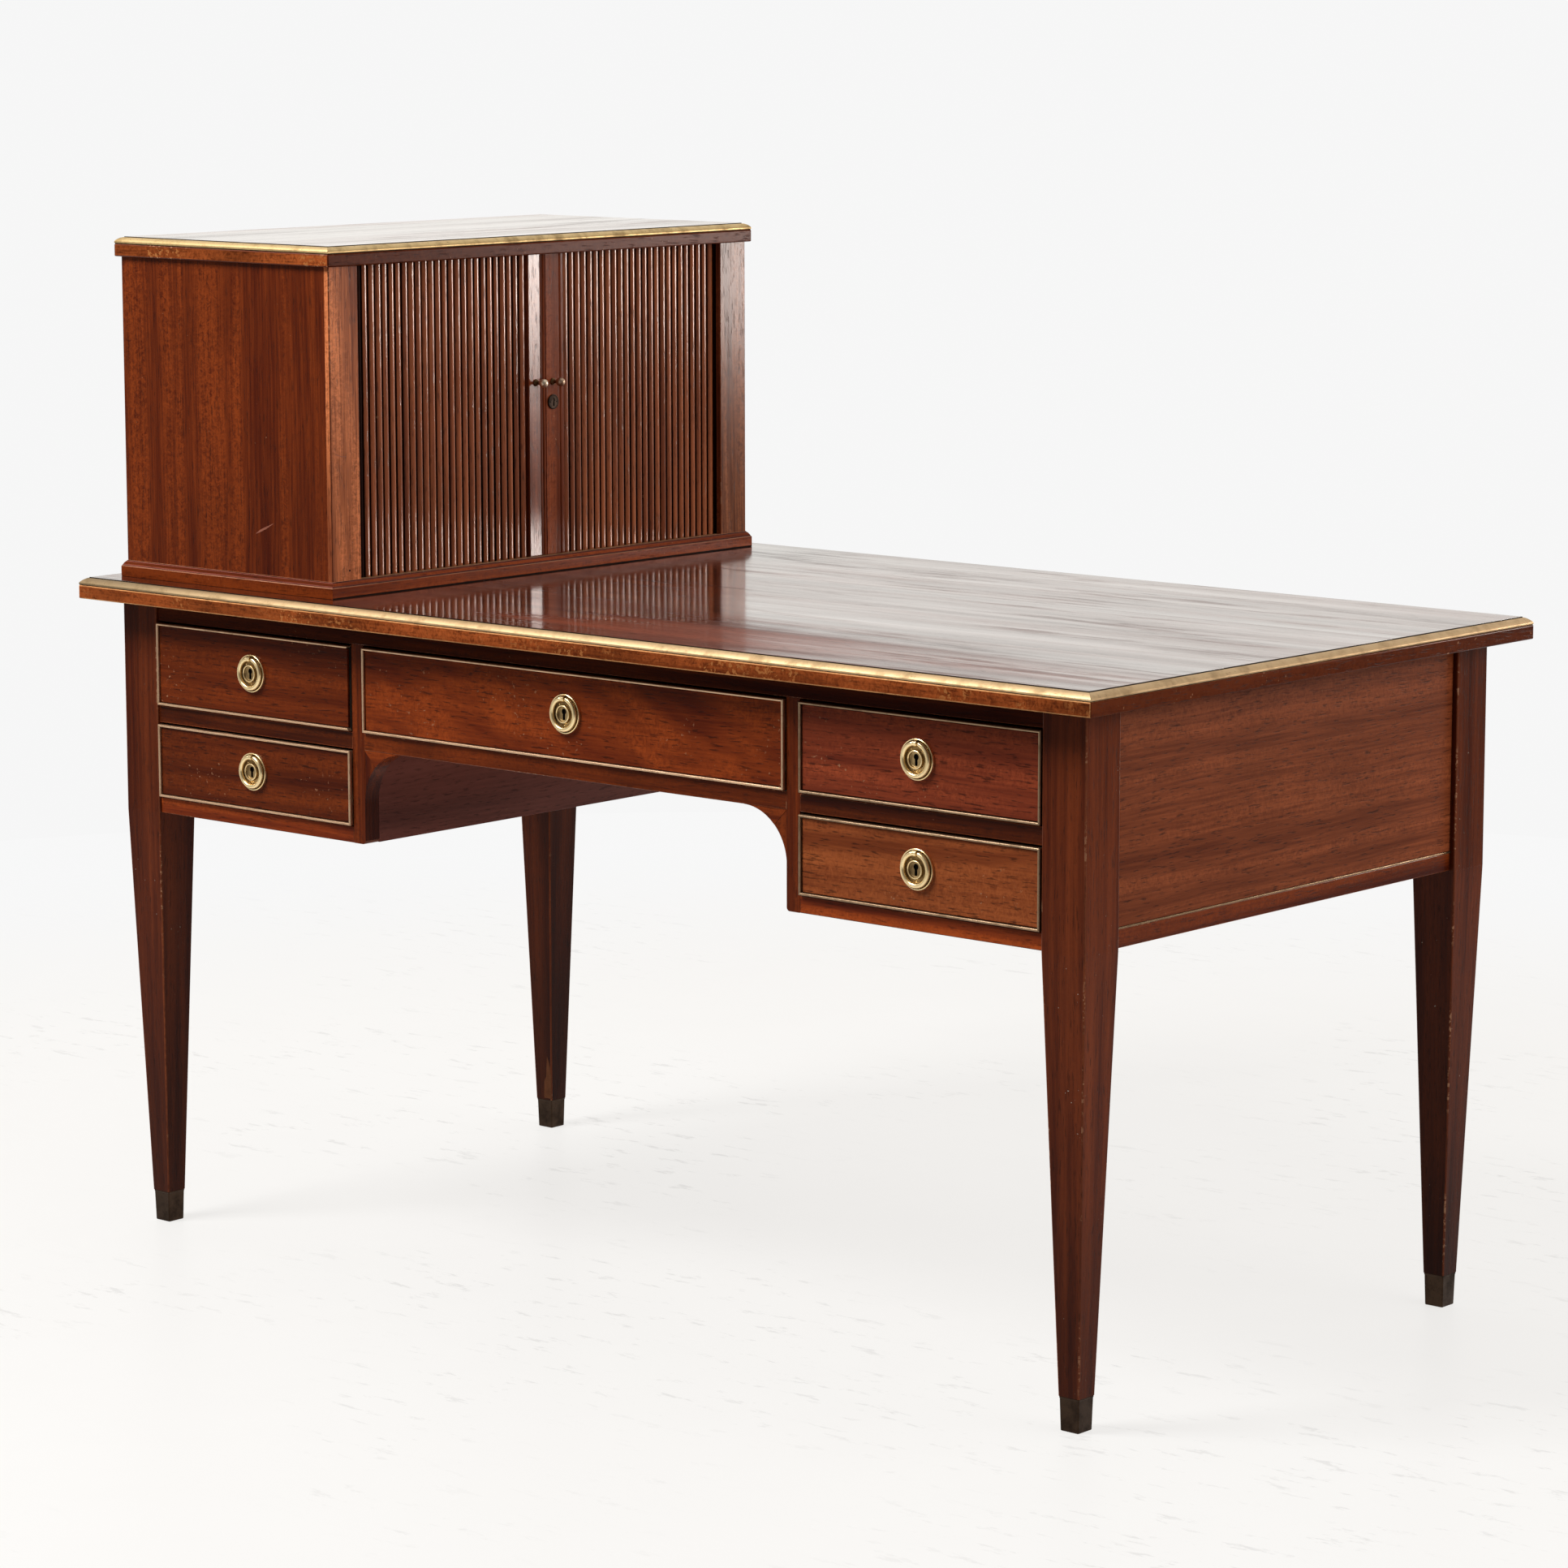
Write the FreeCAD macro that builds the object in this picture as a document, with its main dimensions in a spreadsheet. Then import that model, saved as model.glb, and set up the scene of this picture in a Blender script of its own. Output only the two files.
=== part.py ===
import FreeCAD, Part
import os
from math import cos, pi, sin

# A mahogany writing desk with a tambour cabinet on the left end of its top.
# The drawers face -Y, +X runs along the length, and the floor is Z = 0 under the middle of the top.

doc = FreeCAD.newDocument("WritingDesk")

# Driving sizes in millimetres
sizes = {
    # Table top: a board whose upper edge is rebated for a brass moulding
    "table_length": 1502,
    "table_depth": 796,
    "table_height": 776.5,
    "top_edge": 15.8,
    "brass_rise": 9.3,
    "brass_run": 9,
    "brass_lip": 1.2,
    "end_overhang": 34.5,
    "front_overhang": 38.5,
    # Legs: square beside the drawers, tapered below them, each in a brass shoe
    "leg_width": 56.3,
    "ankle_width": 27,
    "shoe_height": 36.7,
    "shoe_top_width": 25.8,
    "shoe_foot_width": 23.3,
    "shoe_wall": 1.6,
    "shoe_floor": 2.5,
    # Carcass between the legs
    "panel_recess": 7,
    "panel_thickness": 18,
    "rail_recess": 3,
    "frame_thickness": 22,
    "kneehole_width": 634,
    "stile_width": 18.5,
    "bracket_radius": 60,
    "top_rail": 22.9,
    "upper_opening": 100.5,
    "divider_height": 19.5,
    "lower_opening": 89.5,
    "bottom_rail": 18.5,
    "end_rail": 19.6,
    "brass_line": 2.2,
    "brass_line_depth": 4,
    "brass_line_proud": 1,
    "bottom_board": 8,
    "runner_height": 16,
    "runner_width": 19.5,
    # Drawers
    "drawer_gap": 1.25,
    "front_thickness": 20,
    "front_proud": 2,
    "bead_width": 3,
    "bead_depth": 6,
    "bead_proud": 3,
    "bead_round": 1.5,
    "drawer_rear_room": 73,
    "drawer_side": 10,
    "drawer_back": 10,
    "drawer_bottom": 6,
    "bottom_lift": 6,
    "side_play": 2,
    "side_drop": 8,
    "slide_clearance": 0.3,
    # Ring pulls with a keyhole in the boss of the plate, and the lock behind the front
    "pull_rise": 2.5,
    "plate_radius": 22,
    "plate_thickness": 1.5,
    "rim_width": 1.7,
    "rim_height": 3.2,
    "boss_radius": 10,
    "boss_height": 6,
    "well_radius": 7.2,
    "well_depth": 3.5,
    "keyhole_radius": 2.6,
    "keyslot_width": 2.6,
    "keyslot_drop": 8,
    "ring_radius": 17,
    "ring_wire": 2.6,
    "ring_clearance": 0.4,
    "post_width": 5,
    "post_radius": 3.2,
    "pivot_radius": 1.5,
    "pivot_clearance": 0.05,
    "post_clearance": 0.15,
    "lock_width": 60,
    "lock_height": 36,
    "lock_depth": 12,
    # Cabinet carcass
    "cabinet_setback": 36.5,
    "cabinet_width": 346.4,
    "cabinet_margin": 45.3,
    "cabinet_opening": 356,
    "plinth_height": 19.1,
    "plinth_face": 12.8,
    "plinth_reach": 5.5,
    "plinth_strip": 8,
    "cabinet_overhang": 5.8,
    "cabinet_top_edge": 14.5,
    "cabinet_brass_rise": 8.5,
    "cabinet_brass_run": 8.5,
    "cabinet_side": 16,
    "cabinet_back": 10,
    "cabinet_stile": 45.5,
    "stile_thickness": 7,
    "shelf_thickness": 12,
    "shelf_height": 170,
    "shelf_setback": 30,
    # Tambour doors
    "slat_pitch": 10.68,
    "slat_gap": 0.5,
    "slat_thickness": 6,
    "slat_edge": 2,
    "slat_fillet": 1,
    "slat_recess": 8.7,
    "canvas_thickness": 1,
    "canvas_lap": 7,
    "track_radius": 20,
    "track_play": 0.4,
    "track_depth": 4,
    "slat_play": 1.2,
    "guard_thickness": 6,
    "guard_play": 1.5,
    "rail_face_recess": 6,
    "meeting_gap": 0.8,
    "left_rail_width": 23.2,
    "right_rail_width": 33.1,
    "right_rail_tongue": 4.7,
    "rail_play": 0.5,
    # Knobs and lock of the tambour doors
    "knob_height": 205,
    "knob_base_radius": 4.2,
    "knob_base": 2,
    "knob_stem_radius": 2,
    "knob_reach": 12.5,
    "knob_radius": 5.4,
    "escutcheon_drop": 24,
    "escutcheon_radius": 8.8,
    "escutcheon_thickness": 1.2,
    "cabinet_keyslot_drop": 6,
    "cabinet_lock_width": 15,
    "cabinet_lock_height": 46,
    "cabinet_lock_depth": 9,
    "cut_overrun": 2,
}

sheet = doc.addObject("Spreadsheet::Sheet", "Sizes")
for row, (alias, value) in enumerate(sizes.items(), 1):
    sheet.set(f"A{row}", alias)
    sheet.set(f"B{row}", str(value))
    sheet.setAlias(f"B{row}", alias)
doc.recompute()

# Places that follow from the driving sizes; each formula may use the ones above it
place_formulas = {
    "half_length": "Sizes.table_length / 2",
    "half_depth": "Sizes.table_depth / 2",
    "edge_top": "Sizes.table_height - Sizes.brass_rise",
    "underside": "edge_top - Sizes.top_edge",
    "leg_out_x": "half_length - Sizes.end_overhang",
    "leg_in_x": "leg_out_x - Sizes.leg_width",
    "leg_out_y": "half_depth - Sizes.front_overhang",
    "leg_in_y": "leg_out_y - Sizes.leg_width",
    "leg_mid_x": "leg_out_x - Sizes.leg_width / 2",
    "leg_mid_y": "leg_out_y - Sizes.leg_width / 2",
    "shoe_cavity": "Sizes.shoe_foot_width - 2 * Sizes.shoe_wall",
    "panel_out_x": "leg_out_x - Sizes.panel_recess",
    "panel_in_x": "panel_out_x - Sizes.panel_thickness",
    "panel_out_y": "leg_out_y - Sizes.panel_recess",
    "panel_in_y": "panel_out_y - Sizes.panel_thickness",
    "frame_face": "Sizes.rail_recess - leg_out_y",
    "frame_rear": "frame_face + Sizes.frame_thickness",
    "knee_x": "Sizes.kneehole_width / 2",
    "stile_out_x": "knee_x + Sizes.stile_width",
    "upper_top": "underside - Sizes.top_rail",
    "divider_top": "upper_top - Sizes.upper_opening",
    "divider_low": "divider_top - Sizes.divider_height",
    "bottom_rail_top": "divider_low - Sizes.lower_opening",
    "apron_bottom": "bottom_rail_top - Sizes.bottom_rail",
    "line_low": "apron_bottom + Sizes.end_rail",
    "line_top": "line_low + Sizes.brass_line",
    "runner_in_x": "stile_out_x + Sizes.runner_width",
    "runner_out_x": "leg_in_x - Sizes.runner_width",
    "front_face": "frame_face - Sizes.front_proud",
    "front_rear": "front_face + Sizes.front_thickness",
    "bead_face": "front_face - Sizes.bead_proud",
    "bead_rear": "bead_face + Sizes.bead_depth",
    "drawer_end": "panel_in_y - Sizes.drawer_rear_room",
    "pull_axis": "front_face - Sizes.plate_thickness - Sizes.ring_clearance - Sizes.ring_wire",
    "cabinet_back_x": "Sizes.cabinet_setback - half_length",
    "cabinet_front_x": "cabinet_back_x + Sizes.cabinet_width",
    "cabinet_mid_x": "(cabinet_back_x + cabinet_front_x) / 2",
    "cabinet_half_y": "half_depth - Sizes.cabinet_margin",
    "cabinet_inner_y": "cabinet_half_y - Sizes.cabinet_side",
    "plinth_top": "Sizes.table_height + Sizes.plinth_height",
    "cabinet_head": "plinth_top + Sizes.cabinet_opening",
    "cabinet_edge_top": "cabinet_head + Sizes.cabinet_top_edge",
    "cabinet_stile_y": "cabinet_half_y - Sizes.cabinet_stile",
    "stile_rear_x": "cabinet_front_x - Sizes.stile_thickness",
    "back_in_x": "cabinet_back_x + Sizes.cabinet_back",
    "curtain_x": "cabinet_front_x - Sizes.slat_recess - Sizes.slat_thickness",
    "curtain_y": "cabinet_inner_y - Sizes.slat_play - Sizes.slat_thickness",
    "turn_x": "curtain_x - Sizes.track_radius",
    "turn_y": "curtain_y - Sizes.track_radius",
    "guard_out_y": "curtain_y - Sizes.canvas_thickness - Sizes.guard_play",
    "guard_in_y": "guard_out_y - Sizes.guard_thickness",
    "curtain_low": "plinth_top - Sizes.track_depth + Sizes.track_play",
    "curtain_high": "cabinet_head + Sizes.track_depth - Sizes.track_play",
    "rail_face_x": "cabinet_front_x - Sizes.rail_face_recess",
    "rail_start": "Sizes.meeting_gap / 2",
    "left_rail_end": "rail_start + Sizes.left_rail_width",
    "right_rail_end": "rail_start + Sizes.right_rail_width",
    "right_tongue_end": "right_rail_end + Sizes.right_rail_tongue",
    "left_rail_mid": "rail_start + Sizes.left_rail_width / 2",
    "right_rail_mid": "rail_start + Sizes.right_rail_width / 2",
    "knob_z": "plinth_top + Sizes.knob_height",
    "cabinet_key_z": "knob_z - Sizes.escutcheon_drop",
}

places = doc.addObject("Spreadsheet::Sheet", "Places")
for row, (alias, formula) in enumerate(place_formulas.items(), 1):
    places.set(f"A{row}", alias)
    places.set(f"B{row}", "=" + formula)
    places.setAlias(f"B{row}", alias)
    doc.recompute()

nodes = {}


def size(alias):
    return float(sheet.get(alias))


def place(alias):
    return float(places.get(alias))


def keep(label, item):
    item.Label = label
    nodes[label] = item
    return item


def bind(item, **formulas):
    for prop, formula in formulas.items():
        item.setExpression(prop, formula)
    return item


def stand(item, x, y, z, axis=None, angle=0):
    if axis:
        item.Placement = FreeCAD.Placement(FreeCAD.Vector(), FreeCAD.Rotation(FreeCAD.Vector(*axis), angle))
    for letter, formula in zip("xyz", (x, y, z)):
        item.setExpression(f".Placement.Base.{letter}", formula)
    return item


def block(name, x, y, z):
    item = doc.addObject("Part::Box", name)
    spans = [f"({high}) - ({low})" for low, high in (x, y, z)]
    bind(item, Length=spans[0], Width=spans[1], Height=spans[2])
    return stand(item, x[0], y[0], z[0])


def rod(name, radius, length, x, y, z, axis=None, angle=0):
    item = doc.addObject("Part::Cylinder", name)
    bind(item, Radius=radius, Height=length)
    return stand(item, x, y, z, axis, angle)


def frustum(name, low_width, high_width, low, high, x, y):
    item = doc.addObject("Part::Wedge", name)
    bind(item, Ymin=low, Ymax=high)
    for prop, width in (("X", low_width), ("Z", low_width), ("X2", high_width), ("Z2", high_width)):
        item.setExpression(prop + "min", f"-{width} / 2")
        item.setExpression(prop + "max", f"{width} / 2")
    return stand(item, x, y, "0", (1, 0, 0), 90)


def fuse(name, members):
    item = doc.addObject("Part::MultiFuse", name)
    item.Shapes = members
    item.Refine = True
    return item


def cut(name, base, tool):
    item = doc.addObject("Part::Cut", name)
    item.Base = base
    item.Tool = tool
    return item


def group(name, members):
    item = doc.addObject("Part::Compound", name)
    item.Links = members
    return item


def solid_group(name, solids, position=None, axis=None, angle=0):
    item = doc.addObject("Part::Feature", name)
    item.Shape = Part.makeCompound(solids)
    turn = FreeCAD.Rotation(FreeCAD.Vector(*(axis or (0, 0, 1))), angle)
    item.Placement = FreeCAD.Placement(FreeCAD.Vector(*(position or (0, 0, 0))), turn)
    return item


def flip(side, span):
    if side > 0:
        return span
    return (f"-({span[1]})", f"-({span[0]})")


def signed(side, formula):
    return formula if side > 0 else f"-({formula})"


def around(middle, width):
    return (f"{middle} - {width} / 2", f"{middle} + {width} / 2")


def outline_face(steps, at):
    # steps are points, or (middle, end) pairs for arcs; at turns a flat point into a place
    edges = []
    first = here = at(steps[0])
    for step in steps[1:] + [steps[0]]:
        if isinstance(step[0], tuple):
            middle, there = at(step[0]), at(step[1])
            edges.append(Part.Arc(here, middle, there).toShape())
        else:
            there = at(step)
            edges.append(Part.LineSegment(here, there).toShape())
        here = there
    assert first == here
    return Part.Face(Part.Wire(edges))


def mitred_bars(length, width, profile):
    # Four bars round a rectangle; profile points are (inset from the outer face, height)
    overrun = size("cut_overrun")
    reach = max(max(p[0] if not isinstance(p[0], tuple) else p[1][0] for p in profile), 0)
    rise = max(max(p[1] if not isinstance(p[0], tuple) else max(p[0][1], p[1][1]) for p in profile), 0)
    bars = []
    for quarter in range(4):
        along, across = (length, width) if quarter % 2 == 0 else (width, length)
        bar = outline_face(profile, lambda p: FreeCAD.Vector(-along / 2, p[0] - across / 2, p[1]))
        bar = bar.extrude(FreeCAD.Vector(along, 0, 0))
        for end in (-1, 1):
            corner = [(-overrun, -overrun), (-overrun, reach + overrun), (reach + overrun, reach + overrun)]
            points = [FreeCAD.Vector(end * (along / 2 - u), v - across / 2, -overrun) for u, v in corner]
            wedge = Part.Face(Part.makePolygon(points + points[:1]))
            bar = bar.cut(wedge.extrude(FreeCAD.Vector(0, 0, rise + 2 * overrun)))
        bar.rotate(FreeCAD.Vector(), FreeCAD.Vector(0, 0, 1), 90 * quarter)
        bars += bar.Solids
    return bars


def ovolo(run, rise, lip):
    # Convex brass moulding: a short lip, a quarter round and a flat land at the top
    land = run - lip
    round_middle = (land * (1 - cos(pi / 4)), lip + (rise - lip) * sin(pi / 4))
    return [(0, 0), (0, lip), (round_middle, (land, rise)), (run, rise), (run, 0)]


# Table top and its brass edge
top_slab = block("TopSlab", ("-Places.half_length", "Places.half_length"),
                 ("-Places.half_depth", "Places.half_depth"), ("Places.underside", "Places.edge_top"))
top_land = block("TopLand",
                 ("Sizes.brass_run - Places.half_length", "Places.half_length - Sizes.brass_run"),
                 ("Sizes.brass_run - Places.half_depth", "Places.half_depth - Sizes.brass_run"),
                 ("Places.edge_top", "Sizes.table_height"))
keep("tabletop", fuse("TableTop", [top_slab, top_land]))
brass_profile = ovolo(size("brass_run"), size("brass_rise"), size("brass_lip"))
keep("tabletop_brass_edge", solid_group(
    "TopBrass", mitred_bars(size("table_length"), size("table_depth"), brass_profile),
    (0, 0, place("edge_top"))))

# Legs and shoes
leg_names = {(-1, -1): "front_left", (1, -1): "front_right", (-1, 1): "back_left", (1, 1): "back_right"}
shoes = []
for (side_x, side_y), corner in leg_names.items():
    leg_x = signed(side_x, "Places.leg_mid_x")
    leg_y = signed(side_y, "Places.leg_mid_y")
    post_x = flip(side_x, ("Places.leg_in_x", "Places.leg_out_x"))
    post_y = flip(side_y, ("Places.leg_in_y", "Places.leg_out_y"))
    post = block("LegPost_" + corner, post_x, post_y, ("Places.apron_bottom", "Places.underside"))
    taper = frustum("LegTaper_" + corner, "Sizes.ankle_width", "Sizes.leg_width",
                    "Sizes.shoe_height", "Places.apron_bottom", leg_x, leg_y)
    spigot = block("LegSpigot_" + corner, around(leg_x, "Places.shoe_cavity"),
                   around(leg_y, "Places.shoe_cavity"), ("Sizes.shoe_floor", "Sizes.shoe_height"))
    keep("leg_" + corner, fuse("Leg_" + corner, [post, taper, spigot]))
    cap = frustum("ShoeCap_" + corner, "Sizes.shoe_foot_width", "Sizes.shoe_top_width",
                  "0", "Sizes.shoe_height", leg_x, leg_y)
    shoes.append(cut("Shoe_" + corner, cap, spigot))
keep("leg_shoes", group("LegShoes", shoes))

# End panels, back panels, their bottom rails and the brass lines let in between
panel_x = ("Places.panel_in_x", "Places.panel_out_x")
panel_y = ("-Places.leg_in_y", "Places.leg_in_y")
rear_y = ("Places.panel_in_y", "Places.panel_out_y")
pedestal_x = ("Places.knee_x", "Places.leg_in_x")
panel_z = ("Places.line_top", "Places.underside")
rail_z = ("Places.apron_bottom", "Places.line_low")
line_z = ("Places.line_low", "Places.line_top")
line_x = ("Places.panel_out_x - Sizes.brass_line_depth", "Places.panel_out_x + Sizes.brass_line_proud")
line_y = ("Places.panel_out_y - Sizes.brass_line_depth", "Places.panel_out_y + Sizes.brass_line_proud")
bottom_rails = []
brass_lines = []
back_boards = []
for side, hand in ((-1, "left"), (1, "right")):
    keep("end_panel_" + hand, block("EndPanel_" + hand, flip(side, panel_x), panel_y, panel_z))
    bottom_rails.append(block("EndRail_" + hand, flip(side, panel_x), panel_y, rail_z))
    bottom_rails.append(block("BackRail_" + hand, flip(side, pedestal_x), rear_y, rail_z))
    brass_lines.append(block("EndLine_" + hand, flip(side, line_x), panel_y, line_z))
    brass_lines.append(block("BackLine_" + hand, flip(side, pedestal_x), line_y, line_z))
    back_boards.append(block("BackBoard_" + hand, flip(side, pedestal_x), rear_y, panel_z))
knee_span = ("-Places.knee_x", "Places.knee_x")
back_boards.append(block("KneeBack", knee_span, rear_y, ("Places.divider_low", "Places.underside")))
keep("back_panels", group("BackPanels", back_boards))
keep("carcass_brass_lines", group("BrassLines", brass_lines))

# Front frame: rails, stiles and the quarter-round brackets of the kneehole
frame_y = ("Places.frame_face", "Places.frame_rear")
bay_x = ("Places.stile_out_x", "Places.leg_in_x")
stile_x = ("Places.knee_x", "Places.stile_out_x")
divider_z = ("Places.divider_low", "Places.divider_top")
arch_x = "Places.knee_x - Sizes.bracket_radius"
arch_z = "Places.divider_low - Sizes.bracket_radius"
keep("front_top_rail", block("TopRail", ("-Places.leg_in_x", "Places.leg_in_x"), frame_y,
                             ("Places.upper_top", "Places.underside")))
keep("kneehole_rail", block("KneeRail", knee_span, frame_y, divider_z))
stiles = []
dividers = []
brackets = []
knee_sides = []
for side, hand in ((-1, "left"), (1, "right")):
    stiles.append(block("Stile_" + hand, flip(side, stile_x), frame_y,
                        ("Places.apron_bottom", "Places.upper_top")))
    dividers.append(block("Divider_" + hand, flip(side, bay_x), frame_y, divider_z))
    bottom_rails.append(block("FrontRail_" + hand, flip(side, bay_x), frame_y,
                              ("Places.apron_bottom", "Places.bottom_rail_top")))
    knee_sides.append(block("KneeSide_" + hand, flip(side, stile_x),
                            ("Places.frame_rear", "Places.panel_in_y"),
                            ("Places.apron_bottom", "Places.underside")))
    bracket = block("BracketBlank_" + hand, flip(side, (arch_x, "Places.knee_x")), frame_y,
                    (arch_z, "Places.divider_low"))
    arch = rod("BracketArch_" + hand, "Sizes.bracket_radius",
               "Sizes.frame_thickness + 2 * Sizes.cut_overrun", signed(side, arch_x),
               "Places.frame_rear + Sizes.cut_overrun", arch_z, (1, 0, 0), 90)
    brackets.append(cut("Bracket_" + hand, bracket, arch))
keep("front_stiles", group("FrontStiles", stiles))
keep("divider_rails", group("DividerRails", dividers))
keep("bottom_rails", group("BottomRails", bottom_rails))
keep("kneehole_sides", group("KneeholeSides", knee_sides))
keep("kneehole_brackets", group("KneeholeBrackets", brackets))

# Bottom boards notched round the legs, and the strips that the drawers run on and under
deep_y = ("Places.frame_rear", "Places.panel_in_y")
board_z = ("Places.apron_bottom", "Places.apron_bottom + Sizes.bottom_board")
low_runner_z = ("Places.apron_bottom + Sizes.bottom_board", "Places.bottom_rail_top")
mid_runner_z = ("Places.divider_top - Sizes.runner_height", "Places.divider_top")
kicker_z = ("Places.upper_top + Sizes.slide_clearance", "Places.underside")
inner_x = ("Places.stile_out_x", "Places.runner_in_x")
outer_x = ("Places.runner_out_x", "Places.panel_in_x")
centre_x = ("Places.knee_x - Sizes.runner_width", "Places.knee_x")
leg_y_span = ("Places.leg_in_y", "Places.leg_out_y")
notch_z = (f"{board_z[0]} - Sizes.cut_overrun", f"{board_z[1]} + Sizes.cut_overrun")
boards = []
runners = []
for side, hand in ((-1, "left"), (1, "right")):
    board = block("BoardBlank_" + hand, flip(side, ("Places.stile_out_x", "Places.panel_in_x")), deep_y,
                  board_z)
    notch_x = flip(side, ("Places.leg_in_x", "Places.leg_out_x"))
    notches = [block(f"Notch_{hand}_{end}", notch_x, flip(end, leg_y_span), notch_z) for end in (-1, 1)]
    boards.append(cut("Board_" + hand, board, fuse("Notches_" + hand, notches)))
    for level, span in (("low", low_runner_z), ("mid", mid_runner_z), ("kicker", kicker_z)):
        runners.append(block(f"Runner_{level}_inner_{hand}", flip(side, inner_x), deep_y, span))
        runners.append(block(f"Runner_{level}_outer_{hand}", flip(side, outer_x), panel_y, span))
    for level, span in (("mid", mid_runner_z), ("kicker", kicker_z)):
        runners.append(block(f"Runner_{level}_centre_{hand}", flip(side, centre_x), deep_y, span))
keep("bottom_boards", group("BottomBoards", boards))
keep("drawer_runners", group("DrawerRunners", runners))


def keyhole(name, x, z, near, far):
    # Cutting tool for a keyhole between two depths, measured along Y
    length = f"{far} - ({near})"
    eye = rod(name + "Eye", "Sizes.keyhole_radius", length, x, far, z, (1, 0, 0), 90)
    slot = block(name + "Slot", around(x, "Sizes.keyslot_width"), (near, far),
                 (f"{z} - Sizes.keyslot_drop", z))
    return fuse(name, [eye, slot])


def ring_pull(name, x, z):
    # Round plate with rim, boss and pivot post, and the open ring that hangs in the post on its pin
    out = ((1, 0, 0), 90)
    face = "Places.front_face"
    hinge_z = f"{z} + Sizes.ring_radius"
    disc = rod(name + "Disc", "Sizes.plate_radius", "Sizes.plate_thickness", x, face, z, *out)
    rim_body = rod(name + "RimBody", "Sizes.plate_radius", "Sizes.rim_height", x, face, z, *out)
    rim_bore = rod(name + "RimBore", "Sizes.plate_radius - Sizes.rim_width",
                   "Sizes.rim_height + 2 * Sizes.cut_overrun", x, f"{face} + Sizes.cut_overrun", z, *out)
    boss = rod(name + "Boss", "Sizes.boss_radius", "Sizes.boss_height", x, face, z, *out)
    well = rod(name + "Well", "Sizes.well_radius", "Sizes.well_depth + Sizes.cut_overrun",
               x, f"{face} - Sizes.boss_height + Sizes.well_depth", z, *out)
    post = block(name + "Post", around(x, "Sizes.post_width"), ("Places.pull_axis", face),
                 (f"{hinge_z} - Sizes.post_radius", f"{hinge_z} + Sizes.post_radius"))
    knuckle = rod(name + "Knuckle", "Sizes.post_radius", "Sizes.post_width",
                  f"{x} - Sizes.post_width / 2", "Places.pull_axis", hinge_z, (0, 1, 0), 90)
    bore = rod(name + "Bore", "Sizes.pivot_radius + Sizes.pivot_clearance",
               "Sizes.post_width + 2 * Sizes.cut_overrun",
               f"{x} - Sizes.post_width / 2 - Sizes.cut_overrun", "Places.pull_axis", hinge_z,
               (0, 1, 0), 90)
    key = keyhole(name + "Key", x, z, f"{face} - Sizes.boss_height - Sizes.cut_overrun",
                  "Places.front_rear + Sizes.cut_overrun")
    body = fuse(name + "Body", [disc, cut(name + "Rim", rim_body, rim_bore), boss, post, knuckle])
    plate = cut(name + "Plate", body, fuse(name + "Voids", [well, bore, key]))
    hoop = doc.addObject("Part::Torus", name + "Hoop")
    bind(hoop, Radius1="Sizes.ring_radius", Radius2="Sizes.ring_wire")
    stand(hoop, x, "Places.pull_axis", z, *out)
    half_gap = "Sizes.post_width / 2 + Sizes.post_clearance"
    room = "(Sizes.post_radius + Sizes.ring_wire)"
    gap = block(name + "Gap", (f"{x} - ({half_gap})", f"{x} + {half_gap}"),
                (f"Places.pull_axis - {room}", f"Places.pull_axis + {room}"),
                (f"{hinge_z} - {room}", f"{hinge_z} + {room}"))
    half_pin = f"({half_gap} + Sizes.pivot_radius)"
    pin = rod(name + "Pin", "Sizes.pivot_radius", f"2 * {half_pin}", f"{x} - {half_pin}",
              "Places.pull_axis", hinge_z, (0, 1, 0), 90)
    ring = fuse(name + "Ring", [cut(name + "OpenHoop", hoop, gap), pin])
    return plate, ring, key


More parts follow.
